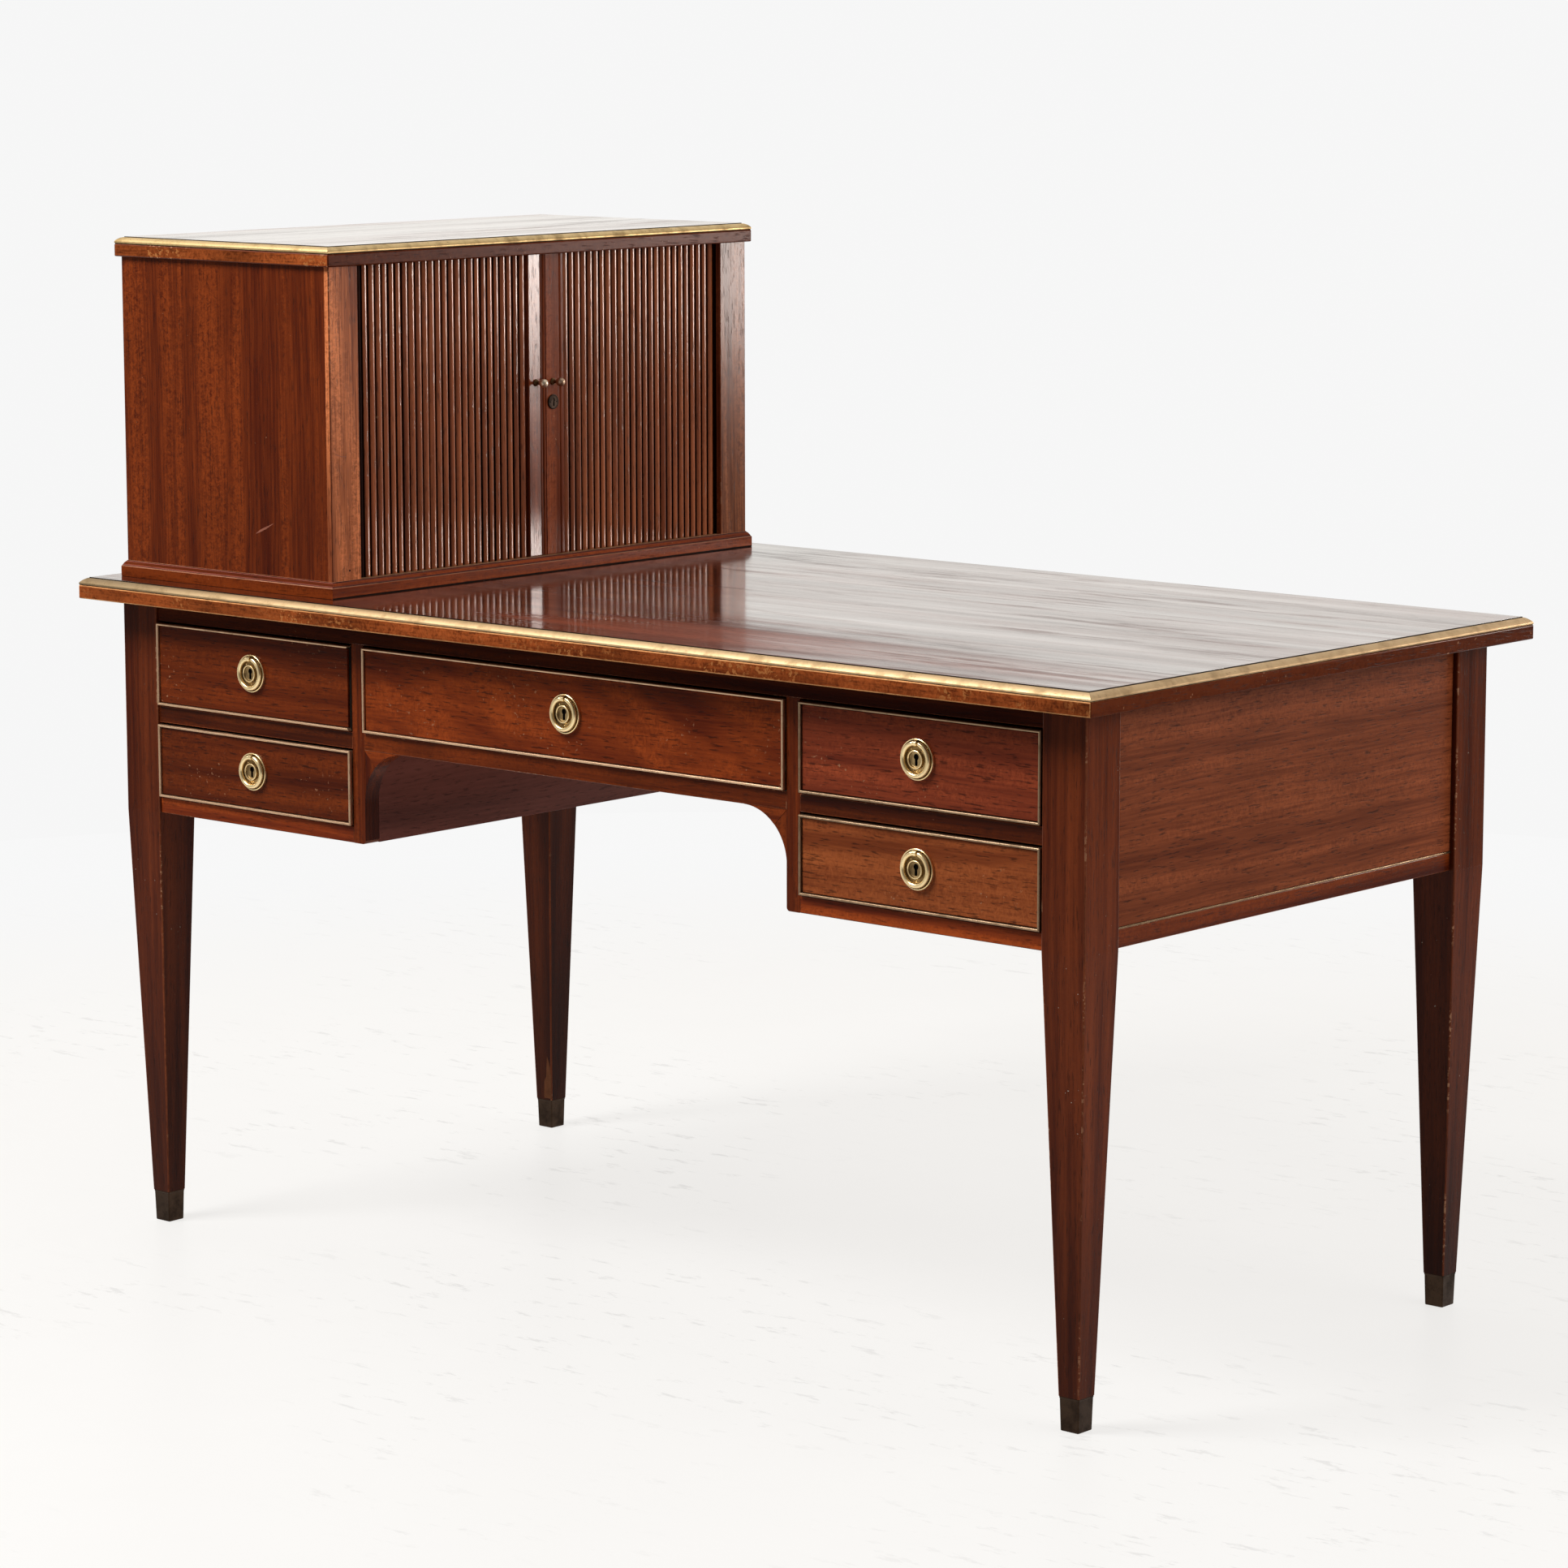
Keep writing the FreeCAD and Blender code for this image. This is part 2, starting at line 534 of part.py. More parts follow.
# Drawers: front, box, brass (bead, plate and lock) and ring, for each opening of the front frame
bay_left = flip(-1, bay_x)
low_z = ("Places.bottom_rail_top", "Places.divider_low")
high_z = ("Places.divider_top", "Places.upper_top")
openings = {
    "upper_left": (bay_left, high_z),
    "lower_left": (bay_left, low_z),
    "centre": (knee_span, high_z),
    "upper_right": (bay_x, high_z),
    "lower_right": (bay_x, low_z),
}
bead_width = size("bead_width")
bead_flat = size("bead_depth") - size("bead_round")
bead_crest = (bead_width / 2, size("bead_depth"))
bead_profile = [(0, 0), (0, bead_flat), (bead_crest, (bead_width, bead_flat)), (bead_width, 0)]
for where, (span_x, span_z) in openings.items():
    name = "Drawer_" + where + "_"
    front_x = (f"{span_x[0]} + Sizes.drawer_gap", f"{span_x[1]} - Sizes.drawer_gap")
    front_z = (f"{span_z[0]} + Sizes.drawer_gap", f"{span_z[1]} - Sizes.drawer_gap")
    pull_x = f"({span_x[0]} + {span_x[1]}) / 2"
    pull_z = f"(({span_z[0]} + {span_z[1]}) / 2 + Sizes.pull_rise)"
    plate, ring, key = ring_pull(name, pull_x, pull_z)

    slab = block(name + "Slab", front_x, ("Places.bead_rear", "Places.front_rear"), front_z)
    field = block(name + "Field", (f"{front_x[0]} + Sizes.bead_width", f"{front_x[1]} - Sizes.bead_width"),
                  ("Places.front_face", "Places.bead_rear"),
                  (f"{front_z[0]} + Sizes.bead_width", f"{front_z[1]} - Sizes.bead_width"))
    keep(f"drawer_{where}_front", cut(name + "Front", fuse(name + "Board", [slab, field]), key))

    side_z = (f"{span_z[0]} + Sizes.slide_clearance", f"{span_z[1]} - Sizes.side_drop")
    box_x = (f"{span_x[0]} + Sizes.side_play", f"{span_x[1]} - Sizes.side_play")
    inside_x = (f"{box_x[0]} + Sizes.drawer_side", f"{box_x[1]} - Sizes.drawer_side")
    box_y = ("Places.front_rear", "Places.drawer_end")
    floor_z = (f"{side_z[0]} + Sizes.bottom_lift", f"{side_z[0]} + Sizes.bottom_lift + Sizes.drawer_bottom")
    keep(f"drawer_{where}_box", group(name + "Box", [
        block(name + "SideA", (box_x[0], inside_x[0]), box_y, side_z),
        block(name + "SideB", (inside_x[1], box_x[1]), box_y, side_z),
        block(name + "Bottom", inside_x, box_y, floor_z),
        block(name + "Back", inside_x, ("Places.drawer_end - Sizes.drawer_back", "Places.drawer_end"),
              (floor_z[1], side_z[1])),
    ]))

    lock = block(name + "Lock", around(pull_x, "Sizes.lock_width"),
                 ("Places.front_rear", "Places.front_rear + Sizes.lock_depth"),
                 around(pull_z, "Sizes.lock_height"))
    lock_case = cut(name + "LockCase", lock, key)
    doc.recompute()
    edges = slab.Shape.BoundBox
    bead = solid_group(name + "Bead", mitred_bars(edges.XLength, edges.ZLength, bead_profile),
                       (edges.Center.x, place("bead_rear"), edges.Center.z), (1, 0, 0), 90)
    keep(f"drawer_{where}_brass", group(name + "Brass", [bead, plate, lock_case]))
    keep(f"drawer_{where}_ring", ring)


def station(side, run, offset):
    # A place on the curtain's path: straight across the front, round the corner, then back along the side
    straight = place("turn_y")
    radius = size("track_radius")
    if run <= straight:
        return FreeCAD.Vector(place("curtain_x") + offset, side * run, 0)
    angle = min((run - straight) / radius, pi / 2)
    past = max(run - straight - radius * pi / 2, 0)
    reach = radius + offset
    across = straight + reach * sin(angle)
    return FreeCAD.Vector(place("turn_x") + reach * cos(angle) - past, side * across, 0)


def curtain_strip(side, start, end, inner, outer, low, high):
    # A strip of the curtain between two runs of its path and two offsets from it
    straight = place("turn_y")
    corner = straight + size("track_radius") * pi / 2
    stops = [start] + [stop for stop in (straight, corner) if start < stop < end] + [end]

    def edges(offset, runs):
        made = []
        for here, there in zip(runs, runs[1:]):
            ends = [station(side, run, offset) for run in (here, there)]
            if straight <= min(here, there) and max(here, there) <= corner:
                made.append(Part.Arc(ends[0], station(side, (here + there) / 2, offset), ends[1]).toShape())
            else:
                made.append(Part.LineSegment(*ends).toShape())
        return made

    far = Part.LineSegment(station(side, end, outer), station(side, end, inner)).toShape()
    near = Part.LineSegment(station(side, start, inner), station(side, start, outer)).toShape()
    wire = Part.Wire(edges(outer, stops) + [far] + edges(inner, stops[::-1]) + [near])
    strip = Part.Face(wire)
    strip.translate(FreeCAD.Vector(0, 0, low))
    return strip.extrude(FreeCAD.Vector(0, 0, high - low))


def slat(side, middle):
    # A half-round reed with a narrow fillet each side, upright on the canvas
    half = (size("slat_pitch") - size("slat_gap")) / 2
    edge = size("slat_edge")
    reed = half - size("slat_fillet")
    outline = [(-half, 0), (-half, edge), (-reed, edge), ((0, size("slat_thickness")), (reed, edge)),
               (half, edge), (half, 0)]
    seat = station(side, middle, 0)
    normal = station(side, middle, 1) - seat
    tangent = FreeCAD.Vector(-normal.y, normal.x, 0)
    low = FreeCAD.Vector(0, 0, place("curtain_low"))
    face = outline_face(outline, lambda p: seat + low + tangent * p[0] + normal * p[1])
    return face.extrude(FreeCAD.Vector(0, 0, place("curtain_high") - place("curtain_low")))


# Cabinet carcass on the table top
shell_x = ("Places.cabinet_back_x", "Places.stile_rear_x")
shell_z = ("Places.plinth_top", "Places.cabinet_head")
plinth_gap = "(Sizes.plinth_strip - Sizes.plinth_reach)"
plinth_length = size("cabinet_width") + 2 * size("plinth_reach")
plinth_width = 2 * (place("cabinet_half_y") + size("plinth_reach"))
plinth_profile = [(0, 0), (0, size("plinth_face")), (size("plinth_reach"), size("plinth_height")),
                  (size("plinth_strip"), size("plinth_height")), (size("plinth_strip"), 0)]
keep("cabinet_plinth", solid_group("Plinth", mitred_bars(plinth_length, plinth_width, plinth_profile),
                                   (place("cabinet_mid_x"), 0, size("table_height"))))

track_reach = size("slat_thickness") + size("track_play")
track_back = -size("canvas_thickness") - size("track_play")
track_end = place("turn_y") + size("track_radius") * pi / 2 + place("turn_x") - place("back_in_x")


def track(name, low, high):
    strips = [curtain_strip(side, 0, track_end, track_back, track_reach, low, high) for side in (-1, 1)]
    return solid_group(name, strips)


floor_blank = block("FloorBlank",
                    (f"Places.cabinet_back_x + {plinth_gap}", f"Places.cabinet_front_x - {plinth_gap}"),
                    (f"{plinth_gap} - Places.cabinet_half_y", f"Places.cabinet_half_y - {plinth_gap}"),
                    ("Sizes.table_height", "Places.plinth_top"))
low_track = track("LowTrack", place("plinth_top") - size("track_depth"),
                  place("plinth_top") + size("cut_overrun"))
keep("cabinet_floor", cut("CabinetFloor", floor_blank, low_track))

head_x = ("Places.cabinet_back_x - Sizes.cabinet_overhang",
          "Places.cabinet_front_x + Sizes.cabinet_overhang")
head_y = ("-Places.cabinet_half_y - Sizes.cabinet_overhang",
          "Places.cabinet_half_y + Sizes.cabinet_overhang")
head_slab = block("HeadSlab", head_x, head_y, ("Places.cabinet_head", "Places.cabinet_edge_top"))
head_land = block("HeadLand",
                  (f"{head_x[0]} + Sizes.cabinet_brass_run", f"{head_x[1]} - Sizes.cabinet_brass_run"),
                  (f"{head_y[0]} + Sizes.cabinet_brass_run", f"{head_y[1]} - Sizes.cabinet_brass_run"),
                  ("Places.cabinet_edge_top", "Places.cabinet_edge_top + Sizes.cabinet_brass_rise"))
high_track = track("HighTrack", place("cabinet_head") - size("cut_overrun"),
                   place("cabinet_head") + size("track_depth"))
keep("cabinet_top", cut("CabinetTop", fuse("HeadBoard", [head_slab, head_land]), high_track))
head_length = size("cabinet_width") + 2 * size("cabinet_overhang")
head_width = 2 * (place("cabinet_half_y") + size("cabinet_overhang"))
head_profile = ovolo(size("cabinet_brass_run"), size("cabinet_brass_rise"), size("brass_lip"))
keep("cabinet_top_brass_edge", solid_group("HeadBrass", mitred_bars(head_length, head_width, head_profile),
                                           (place("cabinet_mid_x"), 0, place("cabinet_edge_top"))))

sides = []
face_stiles = []
guards = []
for side, hand in ((-1, "left"), (1, "right")):
    sides.append(block("CabinetSide_" + hand, shell_x,
                       flip(side, ("Places.cabinet_inner_y", "Places.cabinet_half_y")), shell_z))
    face_stiles.append(block("CabinetStile_" + hand, ("Places.stile_rear_x", "Places.cabinet_front_x"),
                             flip(side, ("Places.cabinet_stile_y", "Places.cabinet_half_y")), shell_z))
    guards.append(block("Guard_" + hand, ("Places.back_in_x", "Places.turn_x"),
                        flip(side, ("Places.guard_in_y", "Places.guard_out_y")), shell_z))
keep("cabinet_sides", group("CabinetSides", sides))
keep("cabinet_stiles", group("CabinetStiles", face_stiles))
keep("tambour_guards", group("TambourGuards", guards))
keep("cabinet_back", block("CabinetBack", ("Places.cabinet_back_x", "Places.back_in_x"),
                           ("-Places.cabinet_inner_y", "Places.cabinet_inner_y"), shell_z))
shelf_low = "Places.plinth_top + Sizes.shelf_height"
keep("cabinet_shelf", block("CabinetShelf", ("Places.back_in_x", "Places.curtain_x - Sizes.shelf_setback"),
                            ("-Places.guard_in_y", "Places.guard_in_y"),
                            (shelf_low, shelf_low + " + Sizes.shelf_thickness")))

# Tambour doors: slats on canvas, and the meeting rail that leads each curtain
tongue_x = ("Places.curtain_x", "Places.curtain_x + Sizes.slat_thickness")
body_x = ("Places.curtain_x", "Places.rail_face_x")
body_z = ("Places.plinth_top + Sizes.rail_play", "Places.cabinet_head - Sizes.rail_play")
tongue_z = ("Places.curtain_low", "Places.curtain_high")
doors = {
    "left": (-1, "left_rail_end", "left_rail_end", "left_rail_mid"),
    "right": (1, "right_rail_end", "right_tongue_end", "right_rail_mid"),
}
corner_end = place("turn_y") + size("track_radius") * pi / 2
for hand, (side, body_end, tongue_end, rail_mid) in doors.items():
    # As many slats as reach from the rail to the end of the corner
    start = place(tongue_end) + size("slat_gap")
    slat_count = int((corner_end - start) / size("slat_pitch"))
    runs = [start + size("slat_pitch") * (number + 1 / 2) for number in range(slat_count)]
    keep(f"tambour_{hand}_slats", solid_group(f"Slats_{hand}", [slat(side, run) for run in runs]))
    canvas = curtain_strip(side, place(body_end) - size("canvas_lap"), runs[-1] + size("slat_pitch") / 2,
                           -size("canvas_thickness"), 0, place("curtain_low"), place("curtain_high"))
    keep(f"tambour_{hand}_canvas", solid_group(f"Canvas_{hand}", [canvas]))

    body_y = flip(side, ("Places.rail_start", "Places." + body_end))
    tongue_y = flip(side, ("Places.rail_start", "Places." + tongue_end))
    rail_body = block("RailBody_" + hand, body_x, body_y, body_z)
    tongue = block("RailTongue_" + hand, tongue_x, tongue_y, tongue_z)
    rail = fuse("Rail_" + hand, [rail_body, tongue])
    knob_y = signed(side, "Places." + rail_mid)
    turned = ((0, 1, 0), 90)
    base = rod("KnobBase_" + hand, "Sizes.knob_base_radius", "Sizes.knob_base",
               "Places.rail_face_x", knob_y, "Places.knob_z", *turned)
    stem = rod("KnobStem_" + hand, "Sizes.knob_stem_radius", "Sizes.knob_reach",
               "Places.rail_face_x", knob_y, "Places.knob_z", *turned)
    ball = doc.addObject("Part::Sphere", "KnobBall_" + hand)
    bind(ball, Radius="Sizes.knob_radius")
    stand(ball, "Places.rail_face_x + Sizes.knob_reach", knob_y, "Places.knob_z")
    keep(f"tambour_{hand}_knob", fuse("Knob_" + hand, [base, stem, ball]))
    if hand == "left":
        keep("tambour_left_rail", rail)
        continue

    # The right rail carries the lock: its keyhole, escutcheon and case
    key_y = "Places." + rail_mid
    key_z = "Places.cabinet_key_z"
    key_x = ("Places.curtain_x - Sizes.cabinet_lock_depth - Sizes.cut_overrun",
             "Places.rail_face_x + Sizes.escutcheon_thickness + Sizes.cut_overrun")
    eye = rod("CabinetKeyEye", "Sizes.keyhole_radius", f"{key_x[1]} - ({key_x[0]})",
              key_x[0], key_y, key_z, *turned)
    slot = block("CabinetKeySlot", key_x, around(key_y, "Sizes.keyslot_width"),
                 (f"{key_z} - Sizes.cabinet_keyslot_drop", key_z))
    cabinet_key = fuse("CabinetKey", [eye, slot])
    keep("tambour_right_rail", cut("KeyedRail", rail, cabinet_key))
    disc = rod("EscutcheonDisc", "Sizes.escutcheon_radius", "Sizes.escutcheon_thickness",
               "Places.rail_face_x", key_y, key_z, *turned)
    keep("cabinet_escutcheon", cut("Escutcheon", disc, cabinet_key))
    case = block("CabinetLockBlank", ("Places.curtain_x - Sizes.cabinet_lock_depth", "Places.curtain_x"),
                 around(key_y, "Sizes.cabinet_lock_width"), around(key_z, "Sizes.cabinet_lock_height"))
    keep("cabinet_lock", cut("CabinetLock", case, cabinet_key))

doc.recompute()

for item in doc.Objects:
    if "Invalid" in item.State or "Error" in item.State:
        raise RuntimeError(f"{item.Label} failed: {item.State}")
for label, item in nodes.items():
    if item.Shape.isNull() or not item.Shape.isValid() or not item.Shape.Solids:
        raise RuntimeError(f"{label} has no sound shape")

os.makedirs("parts", exist_ok=True)
for label, item in nodes.items():
    item.Shape.exportStep(f"parts/{label}.step")
print(len(nodes), "nodes,", sum(len(item.Shape.Solids) for item in nodes.values()), "solids")
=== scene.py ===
import math

import bmesh
import bpy
from mathutils import Matrix, Vector


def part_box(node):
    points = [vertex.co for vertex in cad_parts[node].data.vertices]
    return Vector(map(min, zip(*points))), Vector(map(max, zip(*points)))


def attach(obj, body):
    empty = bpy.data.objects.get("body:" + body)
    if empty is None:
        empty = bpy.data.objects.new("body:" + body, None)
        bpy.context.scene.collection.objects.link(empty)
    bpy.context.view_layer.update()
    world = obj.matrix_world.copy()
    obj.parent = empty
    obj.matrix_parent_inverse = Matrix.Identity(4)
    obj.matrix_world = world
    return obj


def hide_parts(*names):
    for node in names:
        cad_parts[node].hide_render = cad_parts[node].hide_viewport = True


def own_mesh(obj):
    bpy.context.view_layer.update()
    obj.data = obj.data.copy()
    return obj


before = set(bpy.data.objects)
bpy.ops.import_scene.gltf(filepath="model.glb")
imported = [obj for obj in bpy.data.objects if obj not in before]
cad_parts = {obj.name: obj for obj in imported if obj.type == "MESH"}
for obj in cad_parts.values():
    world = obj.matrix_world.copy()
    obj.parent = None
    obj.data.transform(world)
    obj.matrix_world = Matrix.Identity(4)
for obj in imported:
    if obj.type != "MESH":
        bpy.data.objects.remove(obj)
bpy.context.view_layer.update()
mm = 0.001
print("frame loaded")


class Wire:  # a socket of a node tree, with arithmetic
    def __init__(self, tree, socket=None):
        self.tree = tree
        self.socket = socket

    def make(self, kind, settings=None, sockets=None, out=0):
        node = self.tree.nodes.new(kind)
        for key, value in (settings or {}).items():
            setattr(node, key, value)
        plug(node, sockets or {})
        return Wire(self.tree, node.outputs[out])

    def pick(self, out):  # another output of the same node
        return Wire(self.tree, self.socket.node.outputs[out])

    def math(self, operation, a, b=0.0):
        return self.make("ShaderNodeMath", {"operation": operation}, {0: a, 1: b})

    def __add__(self, other):
        return self.math("ADD", self, other)

    def __sub__(self, other):
        return self.math("SUBTRACT", self, other)

    def __rsub__(self, other):
        return self.math("SUBTRACT", other, self)

    def __mul__(self, other):
        return self.math("MULTIPLY", self, other)

    __radd__ = __add__
    __rmul__ = __mul__


def plug(node, values):  # links or sets a node's inputs
    for key, value in values.items():
        if isinstance(value, Wire):
            value.tree.links.new(value.socket, node.inputs[key])
        else:
            node.inputs[key].default_value = value


def vec(x, y, z):
    wire = next(w for w in (x, y, z) if isinstance(w, Wire))
    return wire.make("ShaderNodeCombineXYZ", sockets={0: x, 1: y, 2: z})


def axes(at):  # the three parts of a vector
    split = at.make("ShaderNodeSeparateXYZ", sockets={0: at})
    return [split.pick(i) for i in range(3)]


def noise(at, scale=1.0, detail=2.0, rough=0.5, swirl=0.0):
    return at.make("ShaderNodeTexNoise", sockets={
        "Vector": at, "Scale": scale, "Detail": detail, "Roughness": rough, "Distortion": swirl})


def ramp(value, low, high):  # 0 below low, 1 above high, smooth between
    return value.make("ShaderNodeMapRange", {"interpolation_type": "SMOOTHSTEP"}, {
        "Value": value, "From Min": low, "From Max": high})


def mixed(share, a, b):
    ends = [c if isinstance(c, Wire) else (*c, 1.0) for c in (a, b)]
    return share.make("ShaderNodeMix", {"data_type": "RGBA"}, {0: share, 6: ends[0], 7: ends[1]}, out=2)


def shaded(colour, value):  # the colour made lighter or darker
    return colour.make("ShaderNodeVectorMath", {"operation": "SCALE"}, {0: colour, "Scale": value})


def newMaterial(name):
    material = bpy.data.materials.new(name)
    material.use_nodes = True
    start = Wire(material.node_tree)
    place = start.make("ShaderNodeTexCoord", out="Object")
    return material, material.node_tree.nodes["Principled BSDF"], place


def bumped(height, strength, distance):
    return height.make("ShaderNodeBump", sockets={"Strength": strength, "Distance": distance, "Height": height})


woodLook = {
    "dark": (0.064, 0.0073, 0.0020),
    "light": (0.262, 0.0460, 0.0080),
    "stripe": 26.0,  # ribbons per metre across the grain
    "slant": 0.0,  # how far the ribbons lean away from the grain
    "ribbon": 1.0,
    "ripple": 0.9,  # fine wavy fleck in the paler ribbons
    "fibre": 0.6,
    "pores": 0.45,
    "patches": 0.5,  # slow change of tone along the grain
    "tone": 1.0,
    "rough": 0.27,
    "gloss": 0.07,
    "wearStreaks": 0.16,
    "coat": 0.0,
    "coatRough": 0.1,
    "rubbed": 0.0,  # streaks where the polish has gone
    "frontWear": 0.0,  # polish lost at the front edge, where arms rest
    "darkerFoot": 0.0,  # how much darker the wood gets towards the floor
    "specks": 0.6,
    "speckLimit": 0.70,
    "speckColour": (0.40, 0.19, 0.10),
    "bump": 0.3,
}
grainOrder = {"x": (0, 1, 2), "y": (1, 2, 0), "z": (2, 0, 1)}
footSpan = (0.02, 0.42)  # heights between which the darker foot ends
armRest = {  # where the polish has gone from the table top
    "centre": (0.30, -0.40),
    "ends": (2.4, 5.4),  # how soon it ends to the sides and inwards
    "fades": (0.10, 0.48),  # from where to where it gets weaker to the right
    "fadeShare": 0.62,
}


def mahogany(name, grain="x", seed=0.0, **look):
    use = {**woodLook, **look}
    material, shader, place = newMaterial(name)
    world = axes(place)
    along, across, deep = (world[i] for i in grainOrder[grain])
    along = along + seed

    def figure(lengthways, crossways, **kind):  # noise drawn out along the grain
        return noise(vec(along * lengthways, across * crossways, deep * crossways), **kind)

    wander = figure(1.9, 6.0) - 0.5  # the grain isn't quite straight
    across = across + wander * 0.020
    deep = deep + wander * 0.014
    lean, leanDeep = across + along * use["slant"], deep + along * use["slant"]
    ribbon = noise(vec(along * 0.9, lean * use["stripe"], leanDeep * use["stripe"]), detail=3, rough=0.5) - 0.5
    ripple = figure(190.0, 150.0, detail=2, rough=0.6, swirl=1.2) - 0.5
    ripple = ripple * ramp(ribbon, -0.06, 0.10)
    fibre = figure(9.0, 330.0, detail=3, rough=0.6) - 0.5
    pores = ramp(figure(60.0, 520.0, detail=2), 0.56, 0.7)
    share = 0.47 + ribbon * (1.8 * use["ribbon"]) + ripple * use["ripple"] + fibre * use["fibre"]
    colour = mixed(ramp(share, 0.0, 1.0), use["dark"], use["light"])
    patch = figure(7.0, 3.0, detail=3) - 0.5
    colour = shaded(colour, (1.0 - pores * use["pores"]) * (1.0 + patch * use["patches"]) * use["tone"])
    nicks = ramp(noise(place, 210.0, 3.0, 0.6), use["speckLimit"], use["speckLimit"] + 0.03)
    nicks = nicks * ramp(noise(place, 13.0), 0.5, 0.62)  # in clusters
    # the wood is made darker towards the floor
    if use["darkerFoot"] > 0:
        colour = shaded(colour, 1.0 - (1.0 - ramp(world[2], *footSpan)) * use["darkerFoot"])
    colour = mixed(nicks * use["specks"], colour, use["speckColour"])
    wear = figure(1.6, 26.0, detail=5, rough=0.65) - 0.5
    rough, coat = use["rough"] + wear * use["wearStreaks"] + pores * 0.1, use["coat"]
    if use["rubbed"] > 0:
        streaks = ramp(figure(4.0, 48.0, detail=5, rough=0.65), 0.48, 0.70)
        streaks = streaks * ramp(figure(2.0, 6.0), 0.36, 0.60) * use["rubbed"]
        lines = figure(0.8, 22.0, detail=5, rough=0.65) - 0.5
        scars = ramp(figure(22.0, 210.0, detail=3, rough=0.6), 0.70, 0.76)
        colour = shaded(colour, 1.0 - scars * 0.7)
        aside, inward = ((world[i] - armRest["centre"][i]) * armRest["ends"][i] for i in (0, 1))
        front = 1.0 - ramp(aside * aside + inward * inward + patch * 0.8 + lines * 3.0, 0.25, 1.5)
        front = front * (1.0 - ramp(world[0], *armRest["fades"]) * armRest["fadeShare"]) * use["frontWear"]
        colour = shaded(colour, 1.0 + front * 0.7)
        rough = rough + streaks * 0.12 + front * 0.5
        coat = (coat + lines * 2.3) * (1.0 - streaks * 0.7) * (1.0 - scars * 0.8) * (1.0 - front * 1.4)
    plug(shader, {
        "Base Color": colour,
        "Roughness": rough,
        "Specular IOR Level": use["gloss"],
        "Coat Weight": coat,
        "Coat Roughness": use["coatRough"],
        "Normal": bumped(fibre - pores * 0.7, use["bump"], 0.0003),
    })
    return material


brassLook = {
    "clean": (0.80, 0.56, 0.24),
    "dull": (0.33, 0.22, 0.09),
    "rough": 0.24,
    "patina": 0.4,
    "bump": 0.15,
    "leftDull": 0.0,  # painted shade: how much darker the brass is made towards the left end, where it reflects less light
}
leftSpan = (-0.74, -0.38)  # between these the painted shade fades out


def brass(name, **look):
    use = {**brassLook, **look}
    material, shader, place = newMaterial(name)
    grime = ramp(noise(place, 40.0, 5.0, 0.65), 0.42, 0.72) * use["patina"]
    spots = ramp(noise(place, 300.0, 3.0, 0.6), 0.6, 0.72) * use["patina"]
    colour = mixed(spots, mixed(grime, use["clean"], use["dull"]), use["dull"])
    if use["leftDull"] > 0:
        colour = shaded(colour, 1.0 - (1.0 - ramp(axes(place)[0], *leftSpan)) * use["leftDull"])
    plug(shader, {
        "Base Color": colour,
        "Metallic": 1.0,
        "Roughness": use["rough"] + grime * 0.3 + spots * 0.15,
        "Normal": bumped(noise(place, 170.0, 3.0), use["bump"], 0.0004),
    })
    return material


def cloudy(name, low, high, rough, metal=0.0):  # plain, in two tones
    material, shader, place = newMaterial(name)
    cloud = noise(place, 60.0, 4.0, 0.6)
    plug(shader, {
        "Base Color": mixed(ramp(cloud, 0.3, 0.7), low, high),
        "Metallic": metal,
        "Roughness": rough + (cloud - 0.5) * 0.2,
        "Specular IOR Level": 0.1,
        "Normal": bumped(cloud, 0.2, 0.0004),
    })
    return material


paleLook = {"dark": (0.25, 0.12, 0.05), "light": (0.47, 0.275, 0.135), "stripe": 40.0, "ripple": 0.1,
            "rough": 0.62, "gloss": 0.1, "specks": 0.1, "pores": 0.25}


def innerWood(name, grain="y", seed=0.0, tone=1.0):  # the pale wood inside
    return mahogany(name, grain, seed, **paleLook, tone=tone)


threadTurn = 5200.0  # radians per metre, a thread every 1.2 mm


def canvasWeave(name):
    material, shader, place = newMaterial(name)
    warp, weft = (place.math("SINE", part * threadTurn) for part in axes(place)[1:])
    weave = warp * weft * 0.5 + 0.5
    stain = noise(place, 25.0, 4.0)
    plug(shader, {
        "Base Color": mixed(weave * 0.6 + stain * 0.4, (0.20, 0.15, 0.09), (0.42, 0.34, 0.23)),
        "Roughness": 0.95 - weave * 0.1,
        "Normal": bumped(weave, 0.4, 0.0003),
    })
    return material


def listed(things):
    return things if isinstance(things, list) else [things]


def newObject(name, data):
    made = bpy.data.objects.new(name, data)
    bpy.context.scene.collection.objects.link(made)
    return made


